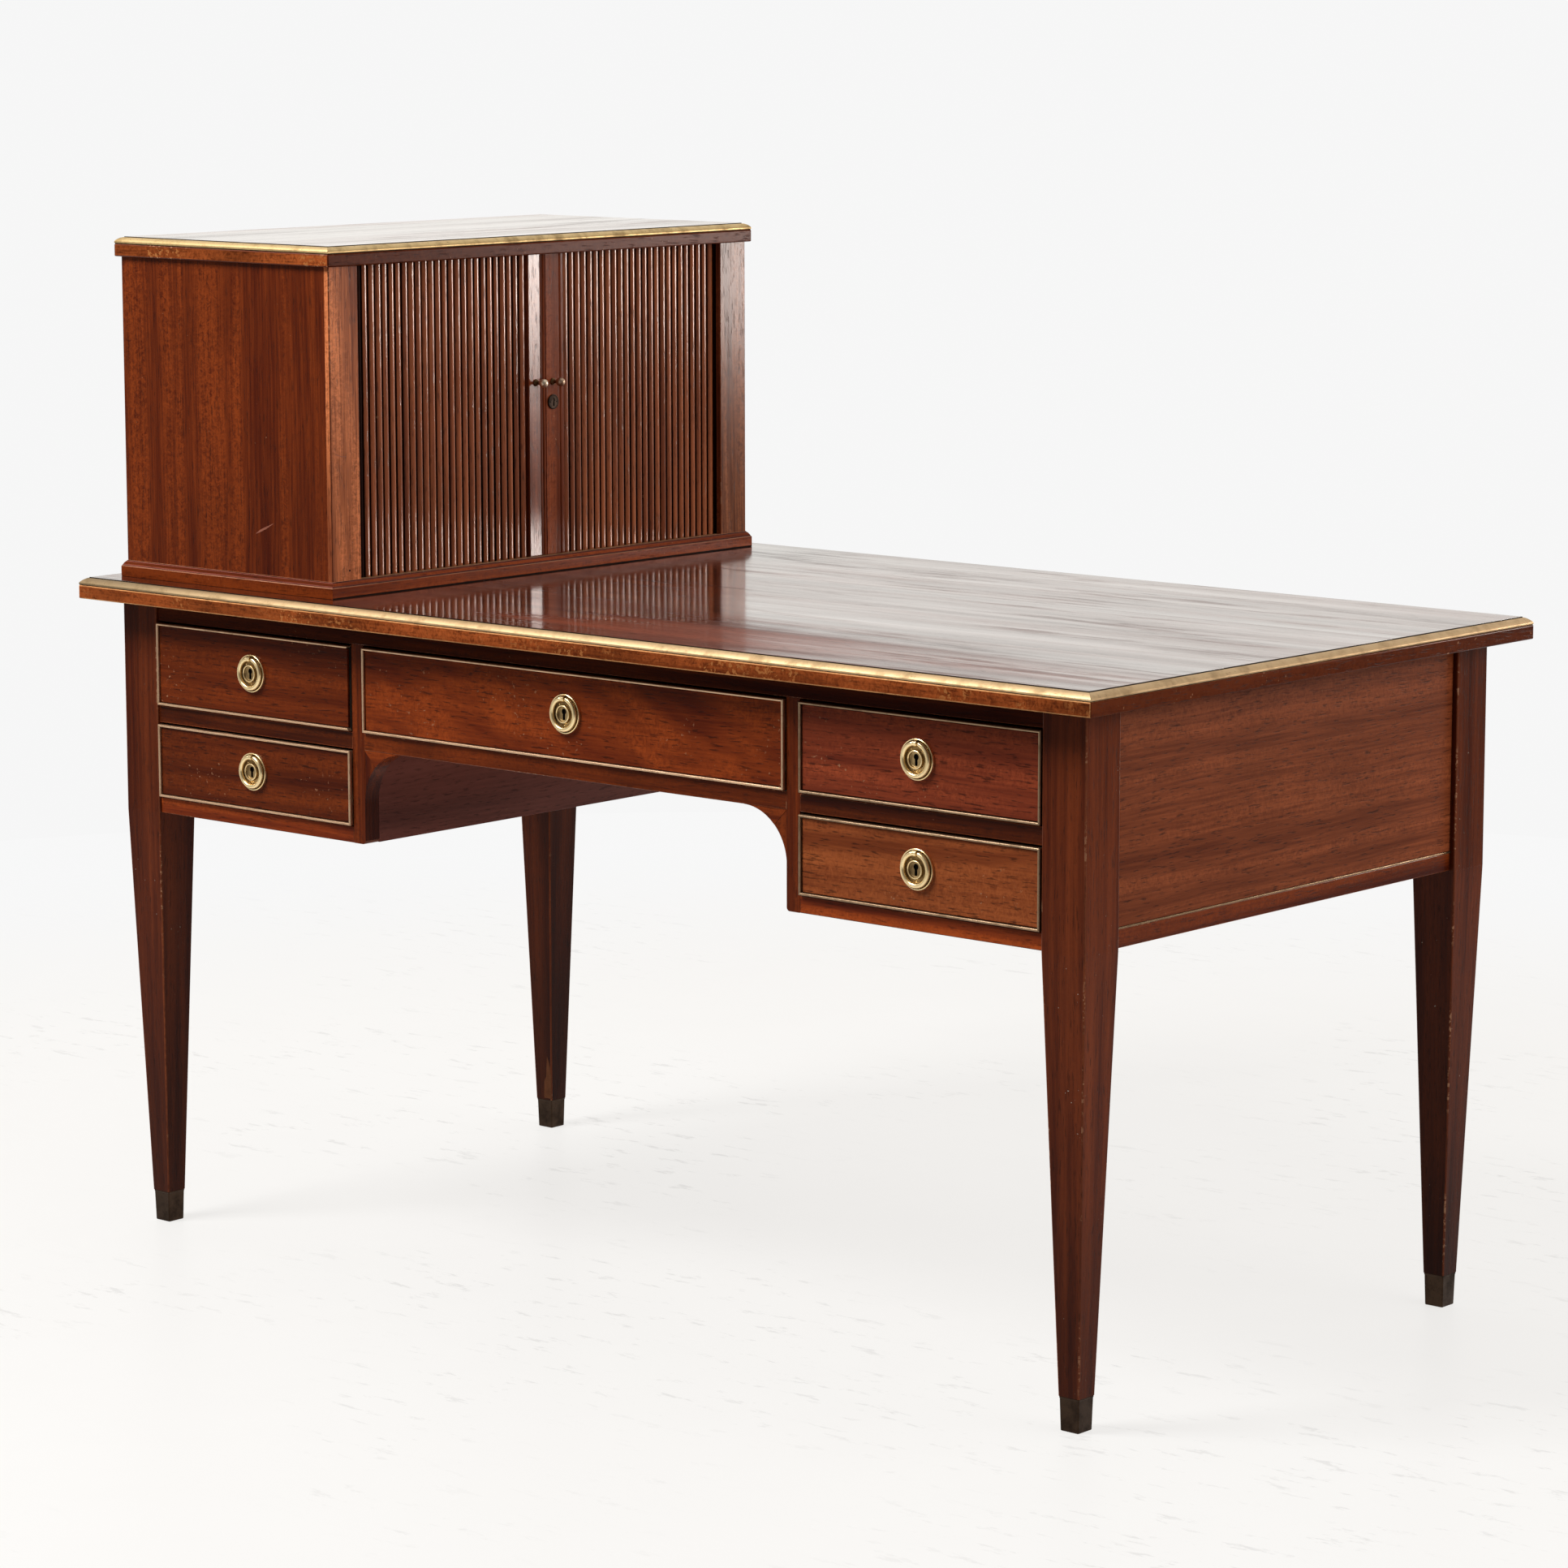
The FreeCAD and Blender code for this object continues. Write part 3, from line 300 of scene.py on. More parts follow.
class Piece:  # gathers the islands of one mesh, then sets it on its body
    def __init__(self):
        self.mesh = bmesh.new()

    def mark(self, faces, smooth, slot):
        for face in faces:
            face.smooth = smooth
            face.material_index = slot

    def board(self, low, high, edge=0.8, slot=0, edgeSlot=None, segments=2, endSlot=None):
        low, high = Vector(low), Vector(high)
        span = Matrix.Translation((low + high) / 2) @ Matrix.Diagonal((*(high - low), 1.0))
        made = bmesh.ops.create_cube(self.mesh, size=1.0, matrix=span)["verts"]
        edges = list({line for vert in made for line in vert.link_edges})
        before = set(self.mesh.faces) - {face for vert in made for face in vert.link_faces}
        bmesh.ops.bevel(self.mesh, geom=edges, offset=edge * mm, offset_type="OFFSET", segments=segments,
                        profile=0.5, affect="EDGES", clamp_overlap=True)
        for face in set(self.mesh.faces) - before:
            face.normal_update()
            level = max(abs(part) for part in face.normal) > 0.9999  # a broad face, not its softened edge
            self.mark([face], not level, slot if level or edgeSlot is None else edgeSlot)
            if endSlot is not None and abs(face.normal.x) > 0.5:
                face.material_index = endSlot
        return self

    def tube(self, rings, slots=0, flat=(), other=None, smooth=True):  # other gives single sides a slot of their own
        other = other or {}
        made = [[self.mesh.verts.new(point) for point in ring] for ring in rings]
        count = len(made[0])
        slots = slots if isinstance(slots, (list, tuple)) else [slots] * (len(made) - 1)
        for here, there, slot in zip(made, made[1:], slots):
            for i in range(count):
                j = (i + 1) % count
                face = self.mesh.faces.new((here[i], here[j], there[j], there[i]))
                self.mark([face], smooth and i not in flat, other.get(i, slot))
        for end, slot in ((made[0][::-1], slots[0]), (made[-1], slots[-1])):
            self.mark([self.mesh.faces.new(end)], False, slot)
        return self

    def lathe(self, profile, at, turns=48, slots=0, extra=()):  # profile is (radius, height) in mm
        angles = [2 * math.pi * k / turns for k in range(turns)]
        rings = [[at(r * math.cos(a), r * math.sin(a), h) for a in angles] for r, h in profile]
        return self.tube([*rings, *extra], slots)

    # mitred lengths round a rectangle, in mm
    def bars(self, halfU, halfV, profile, at, gap=0.1, slot=0, skip=(), other=None):
        for quarter in range(4):
            if quarter in skip:
                continue
            along, across = (halfU, halfV) if quarter % 2 == 0 else (halfV, halfU)
            c, s = ((1, 0), (0, 1), (-1, 0), (0, -1))[quarter]
            rings = []
            for end in (-1, 1):
                flat = [(end * (along - inset - gap), inset - across, height) for inset, height in profile]
                rings.append([at(u * c - v * s, u * s + v * c, h) for u, v, h in flat])
            self.tube(rings, slot, other=other)
        return self

    # corners are (u, v) or (u, v, rounding) in mm
    def prism(self, corners, at, low, high, slot=0, wornSlot=None, steps=4):
        outline, curved = softOutline(corners, steps)
        rings = [[at(u, v, w) for u, v in outline] for w in (low, high)]
        flat = [i for i in range(len(outline)) if i not in curved]
        other = {} if wornSlot is None else dict.fromkeys(curved, wornSlot)
        return self.tube(rings, slot, flat=flat, other=other)

    def build(self, name, materials, nodes, finish, body="desk", angle=34.0):
        bmesh.ops.recalc_face_normals(self.mesh, faces=self.mesh.faces)
        data = bpy.data.meshes.new(name)
        self.mesh.to_mesh(data)
        self.mesh.free()
        smooth = [face.use_smooth for face in data.polygons]
        data.set_sharp_from_angle(angle=math.radians(angle))
        data.polygons.foreach_set("use_smooth", smooth)  # the line above smooths all faces
        for material in listed(materials):
            data.materials.append(material)
        piece = newObject(name, data)
        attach(piece, body)
        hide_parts(*listed(nodes))
        return piece


def arc(middle, radius, start, end, steps):  # points on a circle, in degrees
    angles = [math.radians(start + (end - start) * k / steps) for k in range(steps + 1)]
    return [(middle[0] + radius * math.cos(a), middle[1] + radius * math.sin(a)) for a in angles]


def softOutline(corners, steps):  # rounds corners that have a radius, and lists the rounded faces
    points, curved = [], []
    for k, (u, v, *rounding) in enumerate(corners):
        here = Vector((u, v))
        if not rounding:
            points.append((u, v))
            continue
        radius = rounding[0]
        back = (Vector(corners[k - 1][:2]) - here).normalized()
        ahead = (Vector(corners[(k + 1) % len(corners)][:2]) - here).normalized()
        half = back.angle(ahead) / 2
        middle = here + (back + ahead).normalized() * (radius / math.sin(half))
        reach = radius / math.tan(half)
        a, b = here + back * reach - middle, here + ahead * reach - middle
        turn = a.angle_signed(b)
        for i in range(steps + 1):
            spoke = a.copy()
            spoke.rotate(Matrix.Rotation(-turn * i / steps, 2))
            if i:
                curved.append(len(points) - 1)
            points.append(tuple(middle + spoke))
    return points, curved


def plan(u, v, w):  # flat plan in mm, height up
    return Vector((u, v, w)) * mm


def elevation(u, v, w):  # outline seen from the front in mm, depth along Y
    return Vector((u, w, v)) * mm


def sideways(u, v, w):  # outline seen from the right end in mm, depth along X
    return Vector((w, u, v)) * mm


def boxMm(node):
    return tuple(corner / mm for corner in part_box(node))


def spoken(words):  # upper_left becomes UpperLeft
    return words.title().replace("_", "")


def dress(node, material, edge=0.8):  # a CAD node that shows as it is
    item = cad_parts[node]
    item.data.materials.clear()
    item.data.materials.append(material)
    soft = item.modifiers.new("softEdges", "BEVEL")
    soft.width = edge * mm
    soft.segments = 2
    soft.limit_method = "ANGLE"
    soft.angle_limit = math.radians(50)


# painted shade: a near-black set into gaps, grooves, a nail hole and the keyholes
gapShade = cloudy("gapShade", (0.006, 0.003, 0.002), (0.014, 0.008, 0.005), 0.8)
wornLook = {"dark": (0.10, 0.018, 0.005), "light": (0.34, 0.085, 0.028), "tone": 0.85, "rough": 0.42, "gloss": 0.15,
            "specks": 1.0, "speckLimit": 0.54}
wornX, wornY, wornZ = (mahogany(f"wornEdge{g.upper()}", g, 31.0, **wornLook) for g in "xyz")
print("tools and shared materials ready")

edgeBrass = brass("edgeBrass", clean=(0.55, 0.385, 0.21), dull=(0.33, 0.225, 0.11), rough=0.52, patina=0.6,
                  leftDull=0.5)
topLook = {"dark": (0.09, 0.017, 0.008), "light": (0.28, 0.064, 0.029), "tone": 0.42, "stripe": 20.0, "rough": 0.14,
           "wearStreaks": 0.16, "gloss": 0.10, "coat": 0.82, "coatRough": 0.10, "rubbed": 1.0, "bump": 0.06}
topWood = [mahogany(f"topWood{k}", "x", 3.1 + 6.4 * k, **topLook, frontWear=0.62) for k in range(3)]
edgeLook = {"dark": (0.11, 0.018, 0.004), "light": (0.48, 0.11, 0.026), "tone": 0.7, "ripple": 1.5, "fibre": 0.9,
            "patches": 2.2, "gloss": 0.03, "specks": 0.8, "speckLimit": 0.55, "speckColour": (0.46, 0.17, 0.05)}
edgeWood = mahogany("edgeWood", "x", 8.7, **edgeLook)
# worn lower arris of the table top, also made bright as painted light from the floor below
litWornArris = mahogany("litWornArris", "x", 33.0, dark=(0.40, 0.14, 0.045), light=(0.95, 0.45, 0.17), patches=1.2,
                     rough=0.5)
endGrain = mahogany("endGrain", "y", 9.3, tone=0.5, gloss=0.05, specks=0.9, speckLimit=0.66)
tableValues = {
    "run": 9.0,  # width of the brass
    "seam": 0.7,  # line of painted shade inside it
    "gap": 0.7,  # line of painted shade under it
    "step": 1.0,  # how far its crown stays under the board
    "swell": 1.5,  # how round it is
    "arris": 1.3,  # rounding of the board's edge
    "planks": (0.0, 0.29, 0.68, 1.0),
}


def mouldedTop(name, topNode, brassNode, values, woods, arris, metal):
    low, high = boxMm(topNode)
    brassLow, brassHigh = boxMm(brassNode)
    middle, half = (low + high) / 2, (high - low) / 2
    seam, rise, run = brassLow.z, brassHigh.z - brassLow.z, values["run"]
    land = run + values["seam"]

    def at(u, v, w):
        return Vector((middle.x + u, middle.y + v, seam + w)) * mm

    board = Piece()
    board.board(low * mm, Vector((high.x, high.y, seam)) * mm, values["arris"], 3, 4, 3, 6)
    cuts = [low.y + land + share * (2 * (half.y - land)) for share in values["planks"]]
    for k, (near, far) in enumerate(zip(cuts, cuts[1:])):
        start, end = at(land - half.x, near - middle.y, -1.0), at(half.x - land, far - middle.y, high.z - seam)
        board.board(start, end, 0.25, k)
    lip, lap, bed = 0.9, 0.2, 2.2  # where the painted shade under the brass starts, how far it runs into the wood, its height
    groove = [(lip, -lap), (lip, bed), (land + lap, bed), (land + lap, -lap)]
    foot, crest = rise - 3.0, rise - 0.12
    wall = [(run + 0.1, foot), (run + 0.1, crest), (land + lap, crest), (land + lap, foot)]
    for dark in (groove, wall):  # painted shade under the brass and inside it
        board.bars(half.x, half.y, dark, at, 0.0, 5)
    board.build(name + "Board", [*woods, edgeWood, arris, gapShade, endGrain], topNode, "mahogany")

    gap, crown = values["gap"], rise - values["step"]
    bow, steps = gap + 1.6, 12
    curve = []
    for k in range(steps + 1):  # convex face from the gap up to the dark line
        a = math.pi / 2 * k / steps
        out, up = math.cos(a) ** values["swell"], math.sin(a) ** values["swell"]
        curve.append((0.2 + (run - 1.0) * (1 - out), bow + (crown - bow) * up))
    profile = [(lip, gap), (0.45, gap + 0.15), (0.25, gap + 0.6), *curve, (run, crown - 0.1), (run, gap)]
    Piece().bars(half.x, half.y, profile, at, 0.12).build(name + "BrassEdge", metal, brassNode, "brass")


mouldedTop("tableTop", "tabletop", "tabletop_brass_edge", tableValues, topWood, litWornArris, edgeBrass)
print("table top")

legValues = {
    "corner": 1.6,
    "lineDepth": 0.05, "lineHeight": 0.6,  # scored line where the taper starts
    "ankle": 27.0,
    "shoeCorner": 1.2, "shoeFoot": 23.3, "shoeTop": 25.8, "shoeLip": 0.35,
    # a chip on the back left leg: sideways from the leg's corner, and height
    "chip": [(-7.7, 95), (-3.0, 84), (-0.6, 70), (-0.4, 39), (-13, 39), (-12.6, 62), (-9.5, 67), (-8.6, 80)],
    "chipDeep": 0.5, "chipProud": 0.1,
}
# the back legs are painted darker, as the shade under the desk
legToneAndShade = {"front_left": 0.70, "front_right": 0.76, "back_left": 0.42, "back_right": 0.62}
legLook = {"dark": (0.064, 0.0085, 0.0032), "light": (0.262, 0.052, 0.014), "stripe": 60.0, "ribbon": 0.75,
           "ripple": 0.2, "specks": 0.9, "speckLimit": 0.72, "speckColour": (0.60, 0.52, 0.42), "darkerFoot": 0.45}
chipWood = cloudy("chipWood", (0.085, 0.027, 0.009), (0.15, 0.052, 0.02), 0.6)
shoeBrass = brass("shoeBrass", clean=(0.045, 0.027, 0.017), dull=(0.02, 0.012, 0.008), rough=0.42, patina=0.8)
squareFlats = (3, 7, 11, 15)  # of the sixteen sides of a rounded square
squareCorners = tuple(i for i in range(16) if i not in squareFlats)


def roundedSquare(x, y, half, corner, z):
    points = []
    for k, (sx, sy) in enumerate(((1, 1), (-1, 1), (-1, -1), (1, -1))):
        points += arc((x + sx * (half - corner), y + sy * (half - corner)), corner, 90 * k, 90 * k + 90, 3)
    return [plan(u, v, z) for u, v in points]


apronLow = boxMm("bottom_rails")[0].z
shoeTop = boxMm("leg_shoes")[1].z
shoes = Piece()
for k, (corner, tone) in enumerate(legToneAndShade.items()):
    low, high = boxMm("leg_" + corner)
    x, y, half = (low.x + high.x) / 2, (low.y + high.y) / 2, (high.x - low.x) / 2
    ankle, line = legValues["ankle"] / 2, legValues["lineHeight"] / 2
    levels = [(half, high.z), (half, apronLow + line), (half - legValues["lineDepth"], apronLow),
              (half, apronLow - line), (ankle, shoeTop + 0.15)]
    rings = [roundedSquare(x, y, h, legValues["corner"], z) for h, z in levels]
    leg = Piece().tube(rings, flat=squareFlats, other=dict.fromkeys(squareCorners, 1))
    if corner == "back_left":
        taper = (half - ankle) / (apronLow - shoeTop)

        def chipAt(u, v, w):
            reach = ankle + taper * (v - shoeTop)
            return plan(x + reach + u, y - reach - w, v)

        leg.prism(legValues["chip"], chipAt, -legValues["chipDeep"], legValues["chipProud"], 2)
    legWood = mahogany(f"legWood{k}", "z", 11.3 * k + 2.0, **legLook, tone=tone)
    leg.build("leg" + spoken(corner), [legWood, wornZ, chipWood], "leg_" + corner, "mahogany")
    foot, head, lip = legValues["shoeFoot"] / 2, legValues["shoeTop"] / 2, legValues["shoeLip"]
    levels = [(foot - 0.5, 0.0), (foot, 0.6), (head - lip, shoeTop - 2.2), (head, shoeTop - 1.7),
              (head, shoeTop - 0.3), (head - 0.3, shoeTop)]
    shoes.tube([roundedSquare(x, y, h, legValues["shoeCorner"], z) for h, z in levels], flat=squareFlats)
shoes.build("legShoes", shoeBrass, "leg_shoes", "dark_brass")
print("legs and shoes")

panelValues = {"edge": 0.7, "lineRound": 0.9, "lineDeep": 4.0, "lineProud": 1.0}
panelLook = {"dark": (0.105, 0.021, 0.007), "light": (0.31, 0.076, 0.025), "stripe": 30.0, "ribbon": 0.7,
             "fibre": 0.9, "pores": 0.55, "rough": 0.4, "gloss": 0.04}
panelWood = [mahogany(f"panelWood{k}", "y", 5.0 * k + 1.4, **panelLook) for k in range(2)]
backWood = mahogany("backWood", "x", 17.3, **panelLook, tone=0.9)
lineBrass = brass("lineBrass", clean=(0.28, 0.18, 0.10), dull=(0.14, 0.08, 0.04), rough=0.45, patina=0.6)
for k, hand in enumerate(("left", "right")):
    low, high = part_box("end_panel_" + hand)
    panel = Piece().board(low, high, panelValues["edge"])
    panel.build("endPanel" + hand.title(), panelWood[k], "end_panel_" + hand, "mahogany")

railWood = mahogany("railWood", "x", 4.4, tone=0.80, patches=1.6, stripe=70.0, ripple=0.7)
bracketWood = mahogany("bracketWood", "x", 4.4, tone=1.12, patches=1.4, stripe=70.0, ripple=0.7)
bottomRailWood = mahogany("bottomRailWood", "x", 5.2, tone=1.75, stripe=60.0, ripple=0.9)
endRailWood = mahogany("endRailWood", "y", 6.1, tone=0.85, stripe=70.0, gloss=0.08)
stileWood = mahogany("stileWood", "z", 7.7, tone=0.9, stripe=70.0)
# painted shade: the divider rails are made darker, as the shade under the proud drawers above
dividerShadeWood = mahogany("dividerShadeWood", "x", 13.9, tone=0.45, stripe=70.0)
# painted shade: the top rail is made darker, as the shadow under the table top's overhang
topRailWood = mahogany("topRailWood", "x", 15.1, tone=0.5, stripe=70.0, gloss=0.03)
kneeWood = mahogany("kneeWood", "y", 9.9, dark=(0.15, 0.042, 0.03), light=(0.33, 0.1, 0.072), ripple=0.1,
                    rough=0.5, gloss=0.08)
topRailLow, topRailHigh = boxMm("front_top_rail")
dividerLow, dividerHigh = boxMm("divider_rails")
panelLow, panelHigh = boxMm("end_panel_right")
backLow, backHigh = boxMm("back_panels")
lineLow, lineHigh = boxMm("carcass_brass_lines")
kneeX, stileX, legX = boxMm("kneehole_rail")[1].x, boxMm("front_stiles")[1].x, topRailHigh.x
frameValues = {"edge": 0.8, "footRound": 4.0, "innerRound": 0.5, "arch": 60.0, "archSteps": 14, "mitreGap": 0.12,
               "mitreStep": 0.3, "drawerGap": 1.25}
bottomRailTop = boxMm("drawer_lower_left_front")[0].z - frameValues["drawerGap"]
frameY = (topRailLow.y, topRailHigh.y)


def sided(side, low, high, spanY, spanZ):  # a board on the left or right half
    ends = sorted((side * low, side * high))
    return plan(ends[0], spanY[0], spanZ[0]), plan(ends[1], spanY[1], spanZ[1])


rails, lines, stiles, dividers, brackets, backs, knees = (Piece() for _ in range(7))
edge = frameValues["edge"]
lineZ = (lineLow.z, lineHigh.z)
rearY = (backLow.y, backHigh.y)
panelY = (panelLow.y, panelHigh.y)
lineRound, lineDeep, lineProud = (panelValues[key] for key in ("lineRound", "lineDeep", "lineProud"))
lineX = (panelHigh.x - lineDeep, panelHigh.x + lineProud)
lineY = (backHigh.y - lineDeep, backHigh.y + lineProud)
for side in (-1, 1):
    rails.board(*sided(side, stileX, legX, frameY, (apronLow, bottomRailTop)), edge, 0, 2)
    rails.board(*sided(side, kneeX, legX, rearY, (apronLow, lineLow.z)), edge, 0, 2)
    rails.board(*sided(side, panelLow.x, panelHigh.x, panelY, (apronLow, lineLow.z)), edge, 1, 3)
    lines.board(*sided(side, *lineX, panelY, lineZ), lineRound, segments=3)
    lines.board(*sided(side, kneeX, legX, lineY, lineZ), lineRound, segments=3)
    dividers.board(*sided(side, stileX, legX, frameY, (dividerLow.z, dividerHigh.z)), edge, 0, 1)
    backs.board(*sided(side, kneeX, legX, rearY, (lineHigh.z, backHigh.z)), edge)
    knees.board(*sided(side, kneeX, stileX, (frameY[1], backLow.y), (apronLow, backHigh.z)), edge)
    post = [(side * kneeX, apronLow, frameValues["footRound"]), (side * stileX, apronLow, frameValues["innerRound"]),
            (side * stileX, topRailLow.z), (side * kneeX, topRailLow.z)]
    stiles.prism(post, elevation, *frameY, wornSlot=1, steps=6)
    gap, radius, steps = (frameValues[key] for key in ("mitreGap", "arch", "archSteps"))
    centre = (kneeX - radius, dividerLow.z - radius)
    halves = [[*arc(centre, radius, 90, 45, steps), (kneeX - gap, dividerLow.z)],
              [*arc(centre, radius, 45, 0, steps), (kneeX, dividerLow.z - gap)]]
    for k, outline in enumerate(halves):  # the lower half stands back a little
        flat = [(side * u, v) for u, v in outline]
        brackets.prism(flat, elevation, frameY[0] + frameValues["mitreStep"] * k, frameY[1], slot=k)
backs.board(plan(-kneeX, rearY[0], dividerLow.z), plan(kneeX, rearY[1], backHigh.z), edge)
rails.build("bottomRails", [bottomRailWood, endRailWood, wornX, wornY], "bottom_rails", "mahogany")
lines.build("brassLines", lineBrass, "carcass_brass_lines", "brass")
dividers.build("dividerRails", [dividerShadeWood, wornX], "divider_rails", "mahogany")
backs.build("backPanels", backWood, "back_panels", "mahogany")
knees.build("kneeholeSides", kneeWood, "kneehole_sides", "dull_mahogany")
stiles.build("frontStiles", [stileWood, wornZ], "front_stiles", "mahogany")
brackets.build("kneeholeBrackets", [bracketWood, stileWood], "kneehole_brackets", "mahogany", angle=20)
for node, name, wood in (("front_top_rail", "topRail", topRailWood), ("kneehole_rail", "kneeholeRail", railWood)):
    Piece().board(*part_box(node), edge, 0, 1).build(name, [wood, wornX], node, "mahogany")
runnerWood, bottomWood = innerWood("runnerWood", "y", 2.0, 0.8), innerWood("bottomWood", "x", 5.0, 0.75)
dress("drawer_runners", runnerWood)
dress("bottom_boards", bottomWood)
print("carcass")

drawerValues = {
    "drop": 0.9,  # worn runners let the drawers sit low
    "bead": 3.0, "beadOut": 4.5, "fieldInset": 0.7, "fieldEdge": 0.5,
    "coreInset": 0.4, "coreEdge": 0.3,  # the board behind the bead
    "hollow": 4.0, "hollowInset": 0.5,  # painted shade in the gap there
    "lockWide": 30.0, "lockTall": 18.0, "lockDeep": 12.0,
    "wall": 10.0, "wallEdge": 0.6, "bottom": 6.0, "bottomEdge": 0.3,
    # dovetails
    "tails": 3, "tailLength": 11.0, "tailWide": 0.22, "tailNarrow": 0.15, "tailDeep": 4.0, "tailProud": 0.06,
}
pullValues = {
    "plate": [(22.0, 0.0), (22.0, 2.2), (21.75, 2.85), (21.2, 3.2), (20.6, 3.05), (20.3, 2.5), (20.25, 1.6),
              (19.4, 1.3), (15.0, 1.15), (11.2, 1.3), (10.3, 1.7), (10.0, 2.4), (10.0, 5.0), (9.75, 5.7), (9.2, 6.0),
              (8.7, 5.85), (8.35, 5.3), (8.1, 3.4), (7.6, 3.05)],
    "shadowRings": (4, 5, 6), "grime": (7, 8, 9, 10, 16, 17, 18),  # rings of the plate painted black as shade, and rings with a darker patina
    "turns": 64, "key": (3.3, 2.6, 1.8, 6.6), "keyTop": 3.0, "keyDeep": 0.3,  # key: eye, its rise, half slot, drop
    "pegs": (52.0, 128.0, 270.0), "pegOut": 12.8, "peg": [(0.9, 1.0), (0.9, 1.5), (0.6, 1.75), (0.05, 1.8)],
    "ringRadius": 17.0, "ringWire": 2.6, "ringOut": 4.5, "halfGap": 2.65, "pin": 1.5, "post": 2.5, "knuckle": 3.2,
    "rise": 2.5,
}
drawerLooks = {  # what sets each front apart
    "upper_left": {"tone": 0.97, "slant": 0.02, "stripe": 40.0},
    "lower_left": {"tone": 0.74, "slant": -0.03, "stripe": 44.0},
    "centre": {"tone": 1.38, "slant": 0.34, "stripe": 20.0},
    "upper_right": {"tone": 1.45, "slant": 0.04, "stripe": 30.0, "dark": (0.066, 0.009, 0.0045),
                    "light": (0.262, 0.05, 0.018)},
    "lower_right": {"tone": 1.35, "slant": -0.03, "stripe": 36.0, "dark": (0.09, 0.015, 0.004),
                    "light": (0.3, 0.076, 0.021)},
}
pullBrass = brass("pullBrass", clean=(0.95, 0.74, 0.41), dull=(0.50, 0.35, 0.16), rough=0.27, patina=0.35)
pullGrime = brass("pullGrime", clean=(0.40, 0.28, 0.13), dull=(0.15, 0.09, 0.04), rough=0.5, patina=0.7)
# lit and shaded copies of one brass: the beads on the right-hand drawers are painted darker, as they catch less
# light
litAndShadedBeads = [brass("beadBrassLeft", clean=(0.64, 0.43, 0.27), dull=(0.32, 0.19, 0.11), rough=0.36, patina=0.6),
             brass("beadBrassRight", clean=(0.32, 0.215, 0.13), dull=(0.14, 0.085, 0.048), rough=0.36, patina=0.7)]
lockIron = cloudy("lockIron", (0.05, 0.045, 0.04), (0.13, 0.11, 0.09), 0.5, metal=0.9)
boxWood, boxBottomWood = innerWood("boxWood", "y", 3.0), innerWood("boxBottomWood", "x", 7.0)


def keyOutline(turns, eye, rise, slot, drop):  # distance to the keyhole's edge at each turn
    points = []
    for k in range(turns):
        a = 2 * math.pi * k / turns
        du, dv = math.cos(a), math.sin(a)
        toEye = dv * rise
        inside = toEye * toEye - rise * rise + eye * eye
        reach = max(toEye + math.sqrt(inside), 0.0) if inside > 0 else 0.0
        toSlot = min(slot / abs(du) if abs(du) > 1e-6 else 1e6, drop / -dv if dv < -1e-6 else 1e6)
        if dv < 0.05:
            reach = max(reach, toSlot)
        points.append((reach * du, reach * dv))
    return points


def keyedPlate(piece, use, at, slots, pegSlot):  # a turned plate with a keyhole and small pins
    key = keyOutline(use["turns"], *use["key"])
    keyRings = [[at(u, v, h) for u, v in key] for h in (use["keyTop"], use["keyDeep"])]
    piece.lathe(use["plate"], at, use["turns"], slots, keyRings)
    for turn in use["pegs"]:
        u, v = arc((0, 0), use["pegOut"], turn, turn, 1)[0]
        piece.lathe(use["peg"], lambda a, b, h: at(u + a, v + b, h), 12, pegSlot)


def pullPlate(piece, at, brassSlot, shadeSlot, grimeSlot):
    use = pullValues
    slots = [brassSlot] * len(use["plate"]) + [shadeSlot]
    # the rim's inner rings are painted black as shade
    for names, slot in (("shadowRings", shadeSlot), ("grime", grimeSlot)):
        for k in use[names]:
            slots[k] = slot
    keyedPlate(piece, use, at, slots, brassSlot)
    top, knuckle = use["ringRadius"], use["knuckle"]
    post = [(top - knuckle, 1.0), (top - knuckle, use["ringOut"]),
            *arc((top, use["ringOut"]), knuckle, 180, 0, 10)[1:], (top + knuckle, 1.0)]
    piece.tube([[at(u, v, h) for v, h in post] for u in (-use["post"], use["post"])], brassSlot, smooth=False)


def pullRing(piece, at):
    use = pullValues
    mouth = math.degrees(math.asin((use["halfGap"] + 0.2) / use["ringRadius"]))
    steps, sides = 72, 16
    rings = []
    for k in range(steps + 1):
        turn = math.radians(90 + mouth + (360 - 2 * mouth) * k / steps)
        near = min(k, steps - k)
        wire = use["ringWire"] * (1.0 if near > 1 else (0.72, 0.93)[near])  # ends rounded over
        ring = []
        for i in range(sides):
            a = 2 * math.pi * i / sides
            out = use["ringRadius"] + wire * math.cos(a)
            ring.append(at(out * math.cos(turn), out * math.sin(turn), use["ringOut"] + wire * math.sin(a)))
        rings.append(ring)
    piece.tube(rings)
    pin = arc((use["ringRadius"], use["ringOut"]), use["pin"], 0, 345, 23)
    for side in (-1, 1):
        ends = (use["post"] - 0.3, use["halfGap"] + 2.0)
        piece.tube([[at(side * w, v, h) for v, h in pin] for w in ends])


